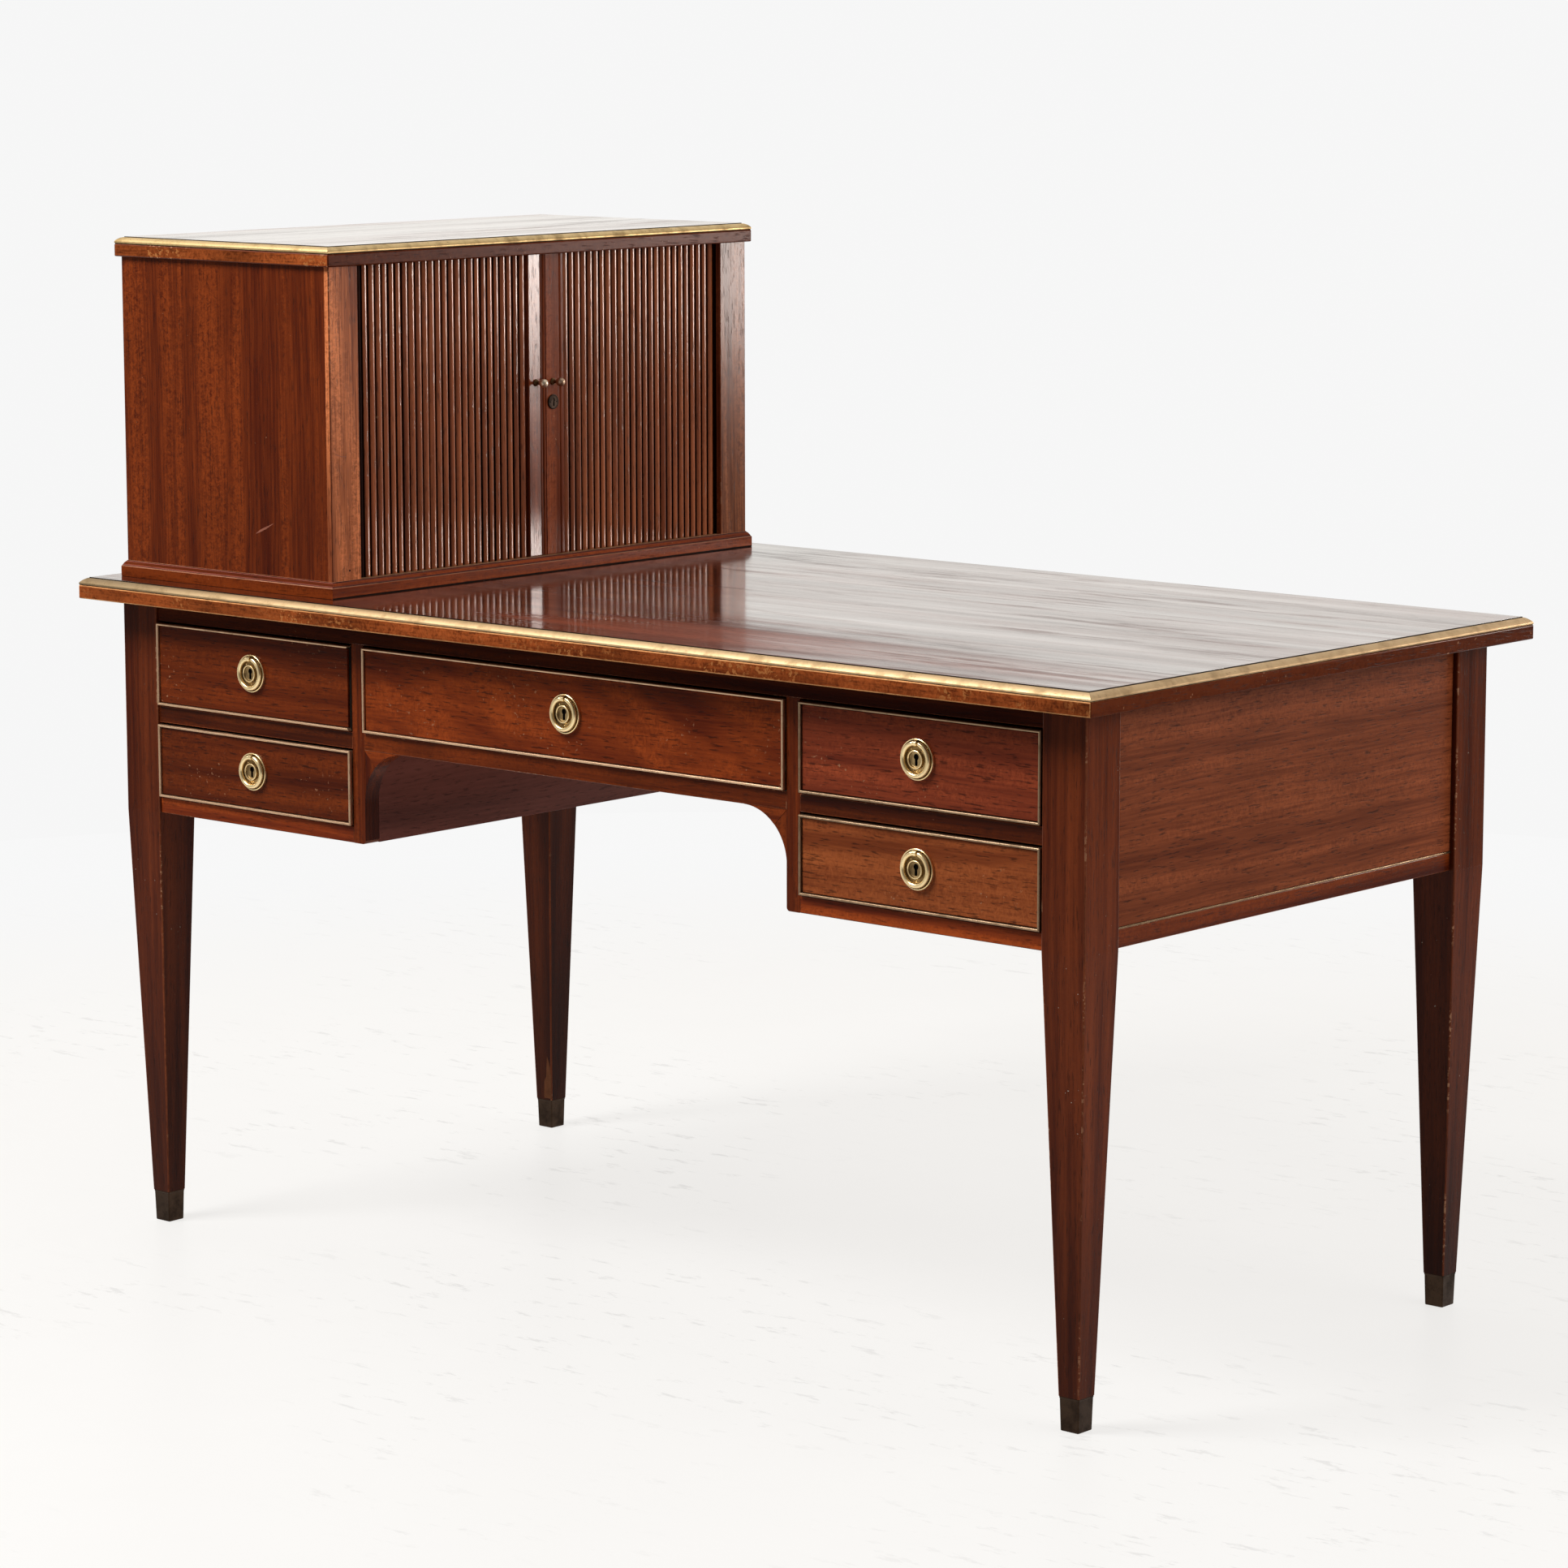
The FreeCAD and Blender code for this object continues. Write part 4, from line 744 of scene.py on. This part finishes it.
for k, where in enumerate(drawerLooks):
    use, name, body = drawerValues, spoken(where), "drawer_" + where
    frontLow, frontHigh = boxMm(body + "_front")
    frontHigh.z -= use["drop"]
    boxLow, boxHigh = boxMm(body + "_box")
    middle, half = (frontLow + frontHigh) / 2, (frontHigh - frontLow) / 2
    pullX, pullZ = middle.x, middle.z + pullValues["rise"] + use["drop"] / 2
    bead, joinY = use["bead"], frontHigh.y
    beadRear, inset = frontLow.y + bead, bead + use["fieldInset"]
    frontLook = {"ribbon": 0.8, "pores": 0.62, "speckLimit": 0.66, "specks": 0.8, **drawerLooks[where]}
    frontWood = mahogany("frontWood" + name, "x", 21.0 + 4.7 * k, **frontLook)
    front = Piece()
    foot, head = frontLow.z + use["coreInset"], frontHigh.z - use["coreInset"]
    front.board(plan(boxLow.x, beadRear, foot), plan(boxHigh.x, joinY, head), use["coreEdge"])
    front.board(plan(frontLow.x + inset, frontLow.y, frontLow.z + inset),
                plan(frontHigh.x - inset, beadRear + 1.0, frontHigh.z - inset), use["fieldEdge"], 0, 0)
    # painted shade: a near-black box behind the bead, for the dark line of the gap
    wide, tall = half.x - use["hollowInset"], half.z - use["hollowInset"]
    shade = [(middle.x + u * wide, middle.z + v * tall) for u, v in ((-1, -1), (1, -1), (1, 1), (-1, 1))]
    front.prism(shade, elevation, beadRear - 0.4, beadRear + use["hollow"], slot=1)
    front.build("drawerFront" + name, [frontWood, gapShade], body + "_front", "mahogany_fronts", body)

    def beadAt(u, v, w):
        return plan(middle.x + u, beadRear - w, middle.z + v)

    metal = Piece()
    profile = [(0.05, 0.0), *arc((bead / 2, use["beadOut"]), bead / 2, 180, 0, 8), (bead - 0.05, 0.0)]
    missing = (1,) if where == "upper_left" else ()  # that strip is lost
    metal.bars(half.x, half.z, profile, beadAt, 0.08, 0, missing)

    def plateAt(u, v, h):
        return plan(pullX + u, frontLow.y - h, pullZ + v)

    pullPlate(metal, plateAt, 1, 2, 4)
    wide, tall = use["lockWide"], use["lockTall"]
    metal.board(plan(pullX - wide, joinY, pullZ - tall),
                plan(pullX + wide, joinY + use["lockDeep"], pullZ + tall), 0.8, 3)
    finishes = [litAndShadedBeads["right" in where], pullBrass, gapShade, lockIron, pullGrime]
    metal.build("drawerBrass" + name, finishes, body + "_brass", "brass", body)
    ring = Piece()
    pullRing(ring, plateAt)
    ring.build("pullRing" + name, pullBrass, body + "_ring", "brass", "ring_" + where)

    box, wall, bottom = Piece(), use["wall"], use["bottom"]
    tall, floorZ = boxHigh.z - boxLow.z, boxLow.z + bottom
    wide, narrow = use["tailWide"] * tall / 2, use["tailNarrow"] * tall / 2
    for side, outer in ((-1, boxLow.x), (1, boxHigh.x)):
        xs = sorted((outer, outer - side * wall))
        box.board(plan(xs[0], joinY, boxLow.z), plan(xs[1], boxHigh.y, boxHigh.z), use["wallEdge"])
        for tail in range(use["tails"]):
            z, tip = boxLow.z + tall * (tail + 0.5) / use["tails"], joinY - use["tailLength"]
            shape = [(joinY + 0.5, z - narrow), (joinY + 0.5, z + narrow), (tip, z + wide), (tip, z - wide)]
            box.prism(shape, sideways, *sorted((outer + side * use["tailProud"], outer - side * use["tailDeep"])))
    left, right = boxLow.x + wall, boxHigh.x - wall
    box.board(plan(left, joinY, floorZ), plan(right, boxHigh.y, floorZ + bottom), use["bottomEdge"], 1)
    rear = plan(left, boxHigh.y - wall, floorZ + bottom)
    box.board(rear, plan(right, boxHigh.y, boxHigh.z), use["wallEdge"], 1)
    box.build("drawerBox" + name, [boxWood, boxBottomWood], body + "_box", "secondary_wood", body)
print("drawers and pulls")

cabinetLow, cabinetHigh = boxMm("cabinet_sides")
stileLow, stileHigh = boxMm("cabinet_stiles")
cabinetZ = (stileLow.z, stileHigh.z)
cabinetValues = {
    "corner": 1.0, "inner": 0.8, "side": 16.0, "stile": 45.5,
    "run": 8.5, "seam": 0.6, "gap": 0.8, "step": 0.9, "swell": 1.3, "arris": 1.4, "planks": (0.0, 1.0),
    # outlines of the scratches and of a nail hole
    "sideScratch": [(-494.2, 841.9), (-485.9, 847.5), (-477.7, 850.9), (-463.4, 856.1), (-475.7, 849.1),
                    (-484.6, 845.2)],
    "stileScratch": [(-345.8, 940.9), (-336.0, 937.4), (-328.1, 936.9), (-328.1, 936.2), (-336.0, 936.7),
                     (-345.8, 940.2)],
    "nailHole": arc((-325.7, 806.7), 1.3, 0, 330, 11),
    "scratchDeep": 0.5, "scratchProud": 0.06,
}
sideWood = mahogany("sideWood", "z", 41.0, tone=0.93, stripe=32.0, ribbon=0.7, ripple=1.4, fibre=1.0)
stileLook = {"dark": (0.17, 0.038, 0.013), "light": (0.72, 0.22, 0.08), "stripe": 36.0, "slant": 0.06, "fibre": 1.1,
             "ripple": 1.2}
nearStileWood = mahogany("nearStileWood", "z", 44.0, **stileLook, gloss=0.06, tone=1.14)
farStileWood = mahogany("farStileWood", "z", 47.0, **stileLook, gloss=0.16, rough=0.17, wearStreaks=0.1, tone=0.5)
cabinetEdgeBrass = brass("cabinetEdgeBrass", clean=(0.64, 0.46, 0.22), dull=(0.26, 0.17, 0.07), rough=0.45,
                         patina=0.7)
cabinetTopWood = mahogany("cabinetTopWood", "y", 43.0, **topLook)
scratchWood = cloudy("scratchWood", (0.22, 0.070, 0.042), (0.32, 0.115, 0.072), 0.6)
sides, cabinetStiles = Piece(), Piece()
use = cabinetValues
for side in (-1, 1):
    outer, inner = side * cabinetHigh.y, side * (cabinetHigh.y - use["side"])
    board = [(cabinetLow.x, outer, use["corner"]), (cabinetHigh.x, outer), (cabinetHigh.x, inner),
             (cabinetLow.x, inner)]
    sides.prism(board, plan, *cabinetZ, wornSlot=1)
    inner = side * (cabinetHigh.y - use["stile"])
    board = [(stileLow.x, outer), (stileHigh.x, outer, use["corner"]), (stileHigh.x, inner, use["inner"]),
             (stileLow.x, inner)]
    cabinetStiles.prism(board, plan, *cabinetZ, slot=0 if side < 0 else 2, wornSlot=1)
deep, proud = use["scratchDeep"], use["scratchProud"]
sides.prism(use["sideScratch"], elevation, cabinetLow.y - proud, cabinetLow.y + deep, 2)
for mark, slot in (("stileScratch", 3), ("nailHole", 4)):
    cabinetStiles.prism(use[mark], sideways, stileHigh.x - deep, stileHigh.x + proud, slot)
sides.build("cabinetSides", [sideWood, wornZ, scratchWood], "cabinet_sides", "mahogany")
stileFinishes = [nearStileWood, wornZ, farStileWood, scratchWood, gapShade]
cabinetStiles.build("cabinetStiles", stileFinishes, "cabinet_stiles", "mahogany")
mouldedTop("cabinetTop", "cabinet_top", "cabinet_top_brass_edge", use, [cabinetTopWood] * 3, wornX, cabinetEdgeBrass)

plinthLow, plinthHigh = boxMm("cabinet_plinth")
plinthValues = {
    "profile": [(0.0, 12.1), (0.3, 12.7), (0.8, 12.9), (1.0, 13.4), (1.6, 14.6), (2.6, 16.2), (3.9, 17.6),
                (4.8, 18.2), (4.9, 18.8), (5.5, 19.1), (8.0, 19.1), (8.0, 0.0)],
    # side of the profile to finish: flat, hollow, rubbed edge lightened as a painted highlight, painted shade in the
    # gaps and quirks
    "slots": {0: 3, 1: 3, 3: 2, 4: 2, 5: 3, 6: 1, 7: 0, 8: 0, 9: 1, 10: 3, 11: 2, 12: 2},
    "gaps": {"x": 0.3, "y": 1.5},  # under the lengths along x and y; the door side has warped up
}
plinthLooks = {  # flat and hollow of the lengths along x and y
    "x": ({"tone": 0.82, "gloss": 0.04}, {"dark": (0.16, 0.04, 0.026), "light": (0.34, 0.1, 0.068)}),
    "y": ({"tone": 1.35, "gloss": 0.05, "rough": 0.3}, {"dark": (0.09, 0.022, 0.015), "light": (0.2, 0.055, 0.038)}),
}
plinthWearAndHighlight = {"dark": (0.30, 0.10, 0.05), "light": (0.66, 0.32, 0.19), "gloss": 0.08}  # rubbed edges, lightened as a painted highlight
plinthWoods = []
for grain, (flat, hollow) in plinthLooks.items():
    plinthWoods += [
        mahogany("plinthWood" + grain.upper(), grain, 51.0, stripe=60.0, **flat),
        mahogany("bevelWood" + grain.upper(), grain, 52.0, gloss=0.06, **hollow),
        mahogany("plinthWearAndHighlight" + grain.upper(), grain, 53.0, **plinthWearAndHighlight),
        gapShade]
plinthMiddle, plinthHalf = (plinthLow + plinthHigh) / 2, (plinthHigh - plinthLow) / 2


def plinthAt(u, v, w):
    return plan(plinthMiddle.x + u, plinthMiddle.y + v, plinthLow.z + w)


plinth = Piece()
for first, grain, skip in ((0, "x", (1, 3)), (4, "y", (0, 2))):  # the grain runs along each length
    gap = plinthValues["gaps"][grain]
    profile = [(gap, 0.0), (gap, gap * 0.8), (0.0, gap), *plinthValues["profile"]]
    slots = {k: first + slot for k, slot in plinthValues["slots"].items()}
    plinth.bars(plinthHalf.x, plinthHalf.y, profile, plinthAt, 0.1, first, skip, slots)
plinth.build("cabinetPlinth", plinthWoods, "cabinet_plinth", "mahogany", angle=25)
cabinetBackWood = mahogany("cabinetBackWood", "z", 57.0, **panelLook, tone=0.85)
Piece().board(*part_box("cabinet_back"), 0.6).build("cabinetBack", cabinetBackWood, "cabinet_back", "secondary_wood")
cabinetInside = innerWood("cabinetInside", "y", 12.0, 0.7)
for node in ("cabinet_floor", "cabinet_shelf", "tambour_guards"):
    dress(node, cabinetInside, 0.6)
dress("cabinet_lock", lockIron, 0.6)
print("cabinet")

curtainValues = {
    "pitch": 10.68, "gap": 0.5, "thick": 6.0, "edge": 1.4, "fillet": 0.45, "canvas": 1.0,
    "radius": 20.0, "end": 329.5,  # the track's corner
    "twist": 0.22, "sink": 0.16,  # no two slats sit quite alike
    "crevice": (0, 1, 2, 3, 12, 13, 14, 15),  # sides of a slat painted dark as shade in its valleys
    # slats past shade are painted dark as the stile's shadow, and an open door still takes the share keep of its
    # width
    "left": {"side": -1, "start": 24.1, "canvasStart": 16.6, "slats": 29, "shade": 290.0, "keep": 0.0832},
    "right": {"side": 1, "start": 38.7, "canvasStart": 26.5, "slats": 28, "shade": 302.0, "keep": 0.0715},
}
slatWood = mahogany("slatWood", "z", 61.0, dark=(0.15, 0.031, 0.01), light=(0.52, 0.15, 0.055), stripe=90.0,
                    ribbon=0.7, ripple=0.1, rough=0.12, gloss=0.62)
# painted shade: near-black wood for the valleys between slats and for the slats in the stile's shadow
slatShadeWood = mahogany("slatShadeWood", "z", 63.0, tone=0.12, stripe=90.0, rough=0.5, gloss=0.02, ripple=0.1)
railLook = {"dark": (0.10, 0.017, 0.0055), "light": (0.33, 0.075, 0.0260), "stripe": 60.0, "rough": 0.18}
leftRailWood = mahogany("leftRailWood", "z", 67.0, **railLook, gloss=0.42)
rightRailWood = mahogany("rightRailWood", "z", 69.0, **railLook, gloss=0.06)
# lit and shaded copies of one brass: the left knob is painted pale as a painted reflection, the right one darker
knobBrass = brass("knobBrass", clean=(0.92, 0.78, 0.60), dull=(0.60, 0.45, 0.28), rough=0.34, patina=0.4)
dullKnobBrass = brass("dullKnobBrass", clean=(0.58, 0.40, 0.28), dull=(0.26, 0.16, 0.10), rough=0.35, patina=0.6)
stemBrass = brass("stemBrass", clean=(0.20, 0.12, 0.055), dull=(0.06, 0.035, 0.015), rough=0.35, patina=0.7)
plateBrass = brass("plateBrass", clean=(0.032, 0.021, 0.015), dull=(0.016, 0.010, 0.007), rough=0.45, patina=0.7)
curtainWeave = canvasWeave("curtainWeave")
curtainX = boxMm("tambour_left_rail")[0].x
turnX, turnY = curtainX - curtainValues["radius"], curtainValues["end"] - curtainValues["radius"]


def station(side, run, off):  # a place on the curtain's path and the way it faces
    angle = min(max(run - turnY, 0) / curtainValues["radius"], math.pi / 2)
    reach = curtainValues["radius"] + off
    if run <= turnY:
        return curtainX + off, side * run
    return turnX + reach * math.cos(angle), side * (turnY + reach * math.sin(angle))


def curtain(hand, side, start, canvasStart, slats, shade, keep):
    use = curtainValues
    low, high = boxMm(f"tambour_{hand}_slats")
    half = (use["pitch"] - use["gap"]) / 2
    reed = half - use["fillet"]
    shape = [(-half, 0.0), (-half, use["edge"])]
    for k in range(13):
        a = math.pi * k / 12
        shape.append((-reed * math.cos(a), use["edge"] + (use["thick"] - use["edge"]) * math.sin(a)))
    shape += [(half, use["edge"]), (half, 0.0)]
    piece = Piece()
    for number in range(slats):
        run = start + use["pitch"] * (number + 0.5)
        seat = Vector(station(side, run, 0.0))
        normal = (Vector(station(side, run, 1.0)) - seat).normalized()
        tangent = Vector((-normal.y, normal.x))
        chance = (math.sin(number * 12.9898 + side * 4.1) * 43758.5453) % 1.0 - 0.5
        twist, proud = chance * use["twist"], 1.0 - abs(chance) * use["sink"]
        points = [seat + tangent * t + normal * (n * proud + t * twist * (n > use["edge"])) for t, n in shape]
        # these sides get the painted shade
        shadedSides = range(len(shape) - 1) if run > shade else use["crevice"]
        piece.tube([[plan(p.x, p.y, z) for p in points] for z in (low.z, high.z)], other=dict.fromkeys(shadedSides, 2))
    runs = [canvasStart, *(start + use["pitch"] * k for k in range(1, slats + 1))]
    cloth = [station(side, run, 0.0) for run in runs] + [station(side, run, -use["canvas"]) for run in runs[::-1]]
    piece.tube([[plan(u, v, z) for u, v in cloth] for z in (low.z, high.z)], 1, smooth=False)
    finishes = [slatWood, curtainWeave, slatShadeWood]
    nodes = [f"tambour_{hand}_{part}" for part in ("slats", "canvas")]
    made = piece.build(f"tambourCurtain{hand.title()}", finishes, nodes, "mahogany", angle=50)
    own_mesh(made)


for hand in ("left", "right"):
    curtain(hand, **curtainValues[hand])


def beadPoints(start, end):  # a small round between two places across a rail
    radius = (end - start) / 2
    return [(u, v - radius) for u, v in arc(((start + end) / 2, 0), radius, 180, 0, 6)]


railValues = {
    # profile from the meeting edge outwards: across the rail, and how far it stands out from its face
    "left": [*beadPoints(0.5, 3.4), (3.5, -1.6), (3.9, -1.6), (4.1, -0.56), (22.8, 0.0), (23.5, -0.7)],
    "right": [*beadPoints(0.6, 5.6), (5.7, -2.6), (6.2, -2.6), (6.5, -0.8), (28.2, 0.0), (28.5, -2.4), (29.0, -2.4),
              *beadPoints(29.1, 33.3)],
    "clear": 0.5,
    "tongueStart": 0.6, "tongueEnd": {"left": 23.6, "right": 38.2}, "tongueThick": 6.0, "tongueEdge": 0.4,
    "knob": [(4.2, 0.0), (4.2, 0.7), (3.9, 1.2), (3.3, 1.4), (3.1, 1.9), (2.7, 2.2), (2.1, 2.6), (1.8, 4.2),
             (1.9, 6.2), (2.6, 7.6), (3.9, 8.9), (4.9, 10.4), (5.35, 12.2), (5.2, 14.0), (4.5, 15.8), (3.2, 17.1),
             (1.6, 17.75), (0.1, 17.9)],
    "stemRings": 8,  # of the knob's rings, those on its dark stem
    "knobY": {"left": -12.0, "right": 16.95},
}
plateValues = {
    "plate": [(8.8, 0.0), (8.8, 0.7), (8.5, 1.1), (7.9, 1.2), (7.4, 0.95), (6.9, 0.9)],
    "turns": 48, "key": (2.5, 2.0, 1.5, 5.4), "keyTop": 0.9, "keyDeep": -3.0,
    "pegs": (180.0, 0.0), "pegOut": 5.4, "peg": [(0.85, 0.6), (0.85, 1.1), (0.5, 1.4), (0.05, 1.45)],
}
railLow, railHigh = boxMm("tambour_left_rail")
railFace = railHigh.x


def middleZ(node):
    return sum(corner.z for corner in boxMm(node)) / 2


def meetingRail(hand, side, wood, knobMetal):
    use, outline = railValues, railValues[hand]
    piece = Piece()
    rear = [(u, curtainX - railFace) for u in (outline[-1][0], outline[0][0])]
    shape = [(railFace + h, side * u) for u, h in [*outline, *rear]]
    ends = (cabinetZ[0] + use["clear"], cabinetZ[1] - use["clear"])
    piece.tube([[plan(x, y, z) for x, y in shape] for z in ends], 0)
    tongue = sorted((side * use["tongueStart"], side * use["tongueEnd"][hand]))
    piece.board(plan(curtainX, tongue[0], railLow.z), plan(curtainX + use["tongueThick"], tongue[1], railHigh.z),
                use["tongueEdge"])
    body = f"tambour_{hand}"
    piece.build(f"meetingRail{hand.title()}", wood, body + "_rail", "mahogany", body, angle=25)
    knobY, knobZ = use["knobY"][hand], middleZ(body + "_knob")
    slots = [1] * use["stemRings"] + [0] * (len(use["knob"]) - 1 - use["stemRings"])
    knob = Piece().lathe(use["knob"], lambda u, v, h: plan(railFace + h, knobY + u, knobZ + v), 32, slots)
    knob.build(f"tambourKnob{hand.title()}", [knobMetal, stemBrass], body + "_knob", "brass", body)


meetingRail("left", -1, leftRailWood, knobBrass)
meetingRail("right", 1, rightRailWood, dullKnobBrass)
plateZ = middleZ("cabinet_escutcheon")


def plateOnRail(u, v, h):
    return plan(railFace + h, railValues["knobY"]["right"] + u, plateZ + v)


escutcheon = Piece()
keyedPlate(escutcheon, plateValues, plateOnRail, [0] * len(plateValues["plate"]) + [1], 0)
escutcheon.build("cabinetEscutcheon", [plateBrass, gapShade], "cabinet_escutcheon", "dark_brass", "tambour_right")
print("tambour doors")

floorValues = {
    "radius": 3.2, "sink": 0.0002,
    "colour": (0.86, 0.85, 0.83),
    "white": (0.94, 0.924, 0.902), "far": (0.935, 0.935, 0.935),  # as it shows near the desk and far off
    "fade": (1.4, 2.8),  # between these distances one turns into the other
    "lift": 0.80,  # how much of that lies over the shadows
    "bounce": 0.3,  # what it throws back on the desk
    "scuffs": 0.15,
}


def shownRay(start):  # the rays that show the pale background: seen, mirrored or through glass
    path = start.make("ShaderNodeLightPath")
    mirrored = path.math("MAXIMUM", path.pick("Is Glossy Ray"), path.pick("Is Transmission Ray"))
    return path.pick("Is Camera Ray"), mirrored


def makeFloor():
    material, shader, place = newMaterial("paleFloor")
    tree, use = material.node_tree, floorValues
    distance = place.make("ShaderNodeVectorMath", {"operation": "LENGTH"}, {0: place}, out="Value")
    x, y, _ = axes(place)
    scuff = noise(place, 7.0, 6.0, 0.65)
    marks = ramp(noise(vec(x * 13.0, y * 44.0, 0.0), 1.0, 5.0, 0.72), 0.57, 0.66)
    marks = marks * ramp(noise(place, 1.3, 3.0), 0.44, 0.60)
    worn = mixed(ramp(scuff, 0.35, 0.75) * 0.5 + marks * 0.5, use["colour"], tuple(c * 0.93 for c in use["colour"]))
    bounced = place.make("ShaderNodeLightPath", out="Is Diffuse Ray")
    plug(shader, {
        "Base Color": mixed(bounced, worn, (use["bounce"],) * 3),
        "Roughness": 0.28 + scuff * 0.2,
        "Specular IOR Level": 0.3,
    })
    fade = ramp(distance, *use["fade"])
    shine = shaded(mixed(fade, use["white"], use["far"]), 1.0 - marks * (1.0 - fade) * use["scuffs"])
    glow = place.make("ShaderNodeEmission", sockets={"Color": shine})
    seen, mirrored = shownRay(place)
    lifted = place.math("MAXIMUM", seen, mirrored) * (use["lift"] + fade * (1.0 - use["lift"]))
    ground = Wire(tree, shader.outputs[0])
    both = seen.make("ShaderNodeMixShader", sockets={0: lifted, 1: ground, 2: glow})
    tree.links.new(both.socket, tree.nodes["Material Output"].inputs[0])
    mesh = bmesh.new()
    bmesh.ops.create_circle(mesh, cap_ends=True, segments=96, radius=use["radius"])
    data = bpy.data.meshes.new("floor")
    mesh.to_mesh(data)
    mesh.free()
    data.materials.append(material)
    floor = newObject("floor", data)
    floor.location.z = -use["sink"]


lightValues = {
    "white": (0.925, 0.925, 0.925),  # the backdrop as it is seen
    "mirrored": (0.975, 0.950, 0.905),  # and as it shows in polish
    "flagged": (0.14, 0.12, 0.10),  # and past the right end, where a dark cloth hangs
    "back": 0.95, "front": 0.10,  # light from behind and from the camera's side
    "ceiling": 0.35, "camera": 0.42,  # how much of the backdrop metal finds overhead and on the camera's side
    "lamps": {  # power, width, height, place, aim, colour, lights surfaces, shows in polish
        "softKey": (205.0, 1.7, 1.7, (-1.5, -2.6, 4.0), (0.0, 0.0, 0.6), (1.0, 1.0, 1.0), True, True),
        "sideFill": (26.5, 2.0, 1.6, (3.2, 0.5, 2.0), (0.3, 0.0, 0.7), (1.0, 1.0, 1.0), True, False),
        "stripBox": (46.0, 0.95, 0.6, (1.68, 2.7, 1.1), (-0.37, 0.1, 0.95), (1.0, 0.92, 0.86), False, True),
    },
}


def makeLight():
    scene = bpy.context.scene
    scene.world = bpy.data.worlds.new("studio")
    scene.world.use_nodes = True
    tree = scene.world.node_tree
    tree.nodes.clear()
    start = Wire(tree)
    way = start.make("ShaderNodeTexCoord", out="Generated")
    x, y, z = axes(way)
    behind = ramp(y, -0.5, 0.2)
    level = lightValues["front"] + behind * (lightValues["back"] - lightValues["front"])
    room = way.make("ShaderNodeBackground", sockets={"Color": mixed(level, (0, 0, 0), (1.0, 0.99, 0.975))})
    seen, mirrored = shownRay(start)
    polish = mixed(ramp(x, 0.05, 0.45), lightValues["mirrored"], lightValues["flagged"])
    backdrop = way.make("ShaderNodeBackground", sockets={"Color": mixed(seen, polish, lightValues["white"])})
    overhead = ramp(z, 0.3, 0.75) * (1.0 - lightValues["ceiling"])
    ahead = 1.0 - ramp(y, -0.6, 0.1)
    shown = way.math("MAXIMUM", seen, mirrored * (1.0 - overhead) * (1.0 - ahead * (1.0 - lightValues["camera"])))
    both = seen.make("ShaderNodeMixShader", sockets={0: shown, 1: room, 2: backdrop})
    tree.links.new(both.socket, tree.nodes.new("ShaderNodeOutputWorld").inputs[0])
    for name, (power, width, height, place, aim, colour, lights, shows) in lightValues["lamps"].items():
        lamp = bpy.data.lights.new(name, "AREA")
        lamp.shape, lamp.size, lamp.size_y, lamp.energy, lamp.color = "RECTANGLE", width, height, power, colour
        stand = newObject(name, lamp)
        stand.location = place
        stand.rotation_euler = (Vector(aim) - Vector(place)).to_track_quat("-Z", "Y").to_euler()
        stand.visible_diffuse, stand.visible_glossy = lights, shows
    scene.view_settings.view_transform = "Standard"


cameraValues = {"lens": 117.56, "sensor": 36.0, "place": (3.807998, -4.359399, 1.483308), "turn": 0.7177,
                "dip": 0.1582, "roll": -0.0014}


def makeCamera():
    use = cameraValues
    data = bpy.data.cameras.new("camera")
    data.lens, data.sensor_width = use["lens"], use["sensor"]
    camera = newObject("camera", data)
    turn = Matrix.Rotation(use["turn"], 4, "Z") @ Matrix.Rotation(math.pi / 2 - use["dip"], 4, "X")
    camera.matrix_world = Matrix.Translation(use["place"]) @ turn @ Matrix.Rotation(use["roll"], 4, "Z")
    bpy.context.scene.camera = camera


makeFloor()
makeLight()
makeCamera()
print("floor, light and camera")
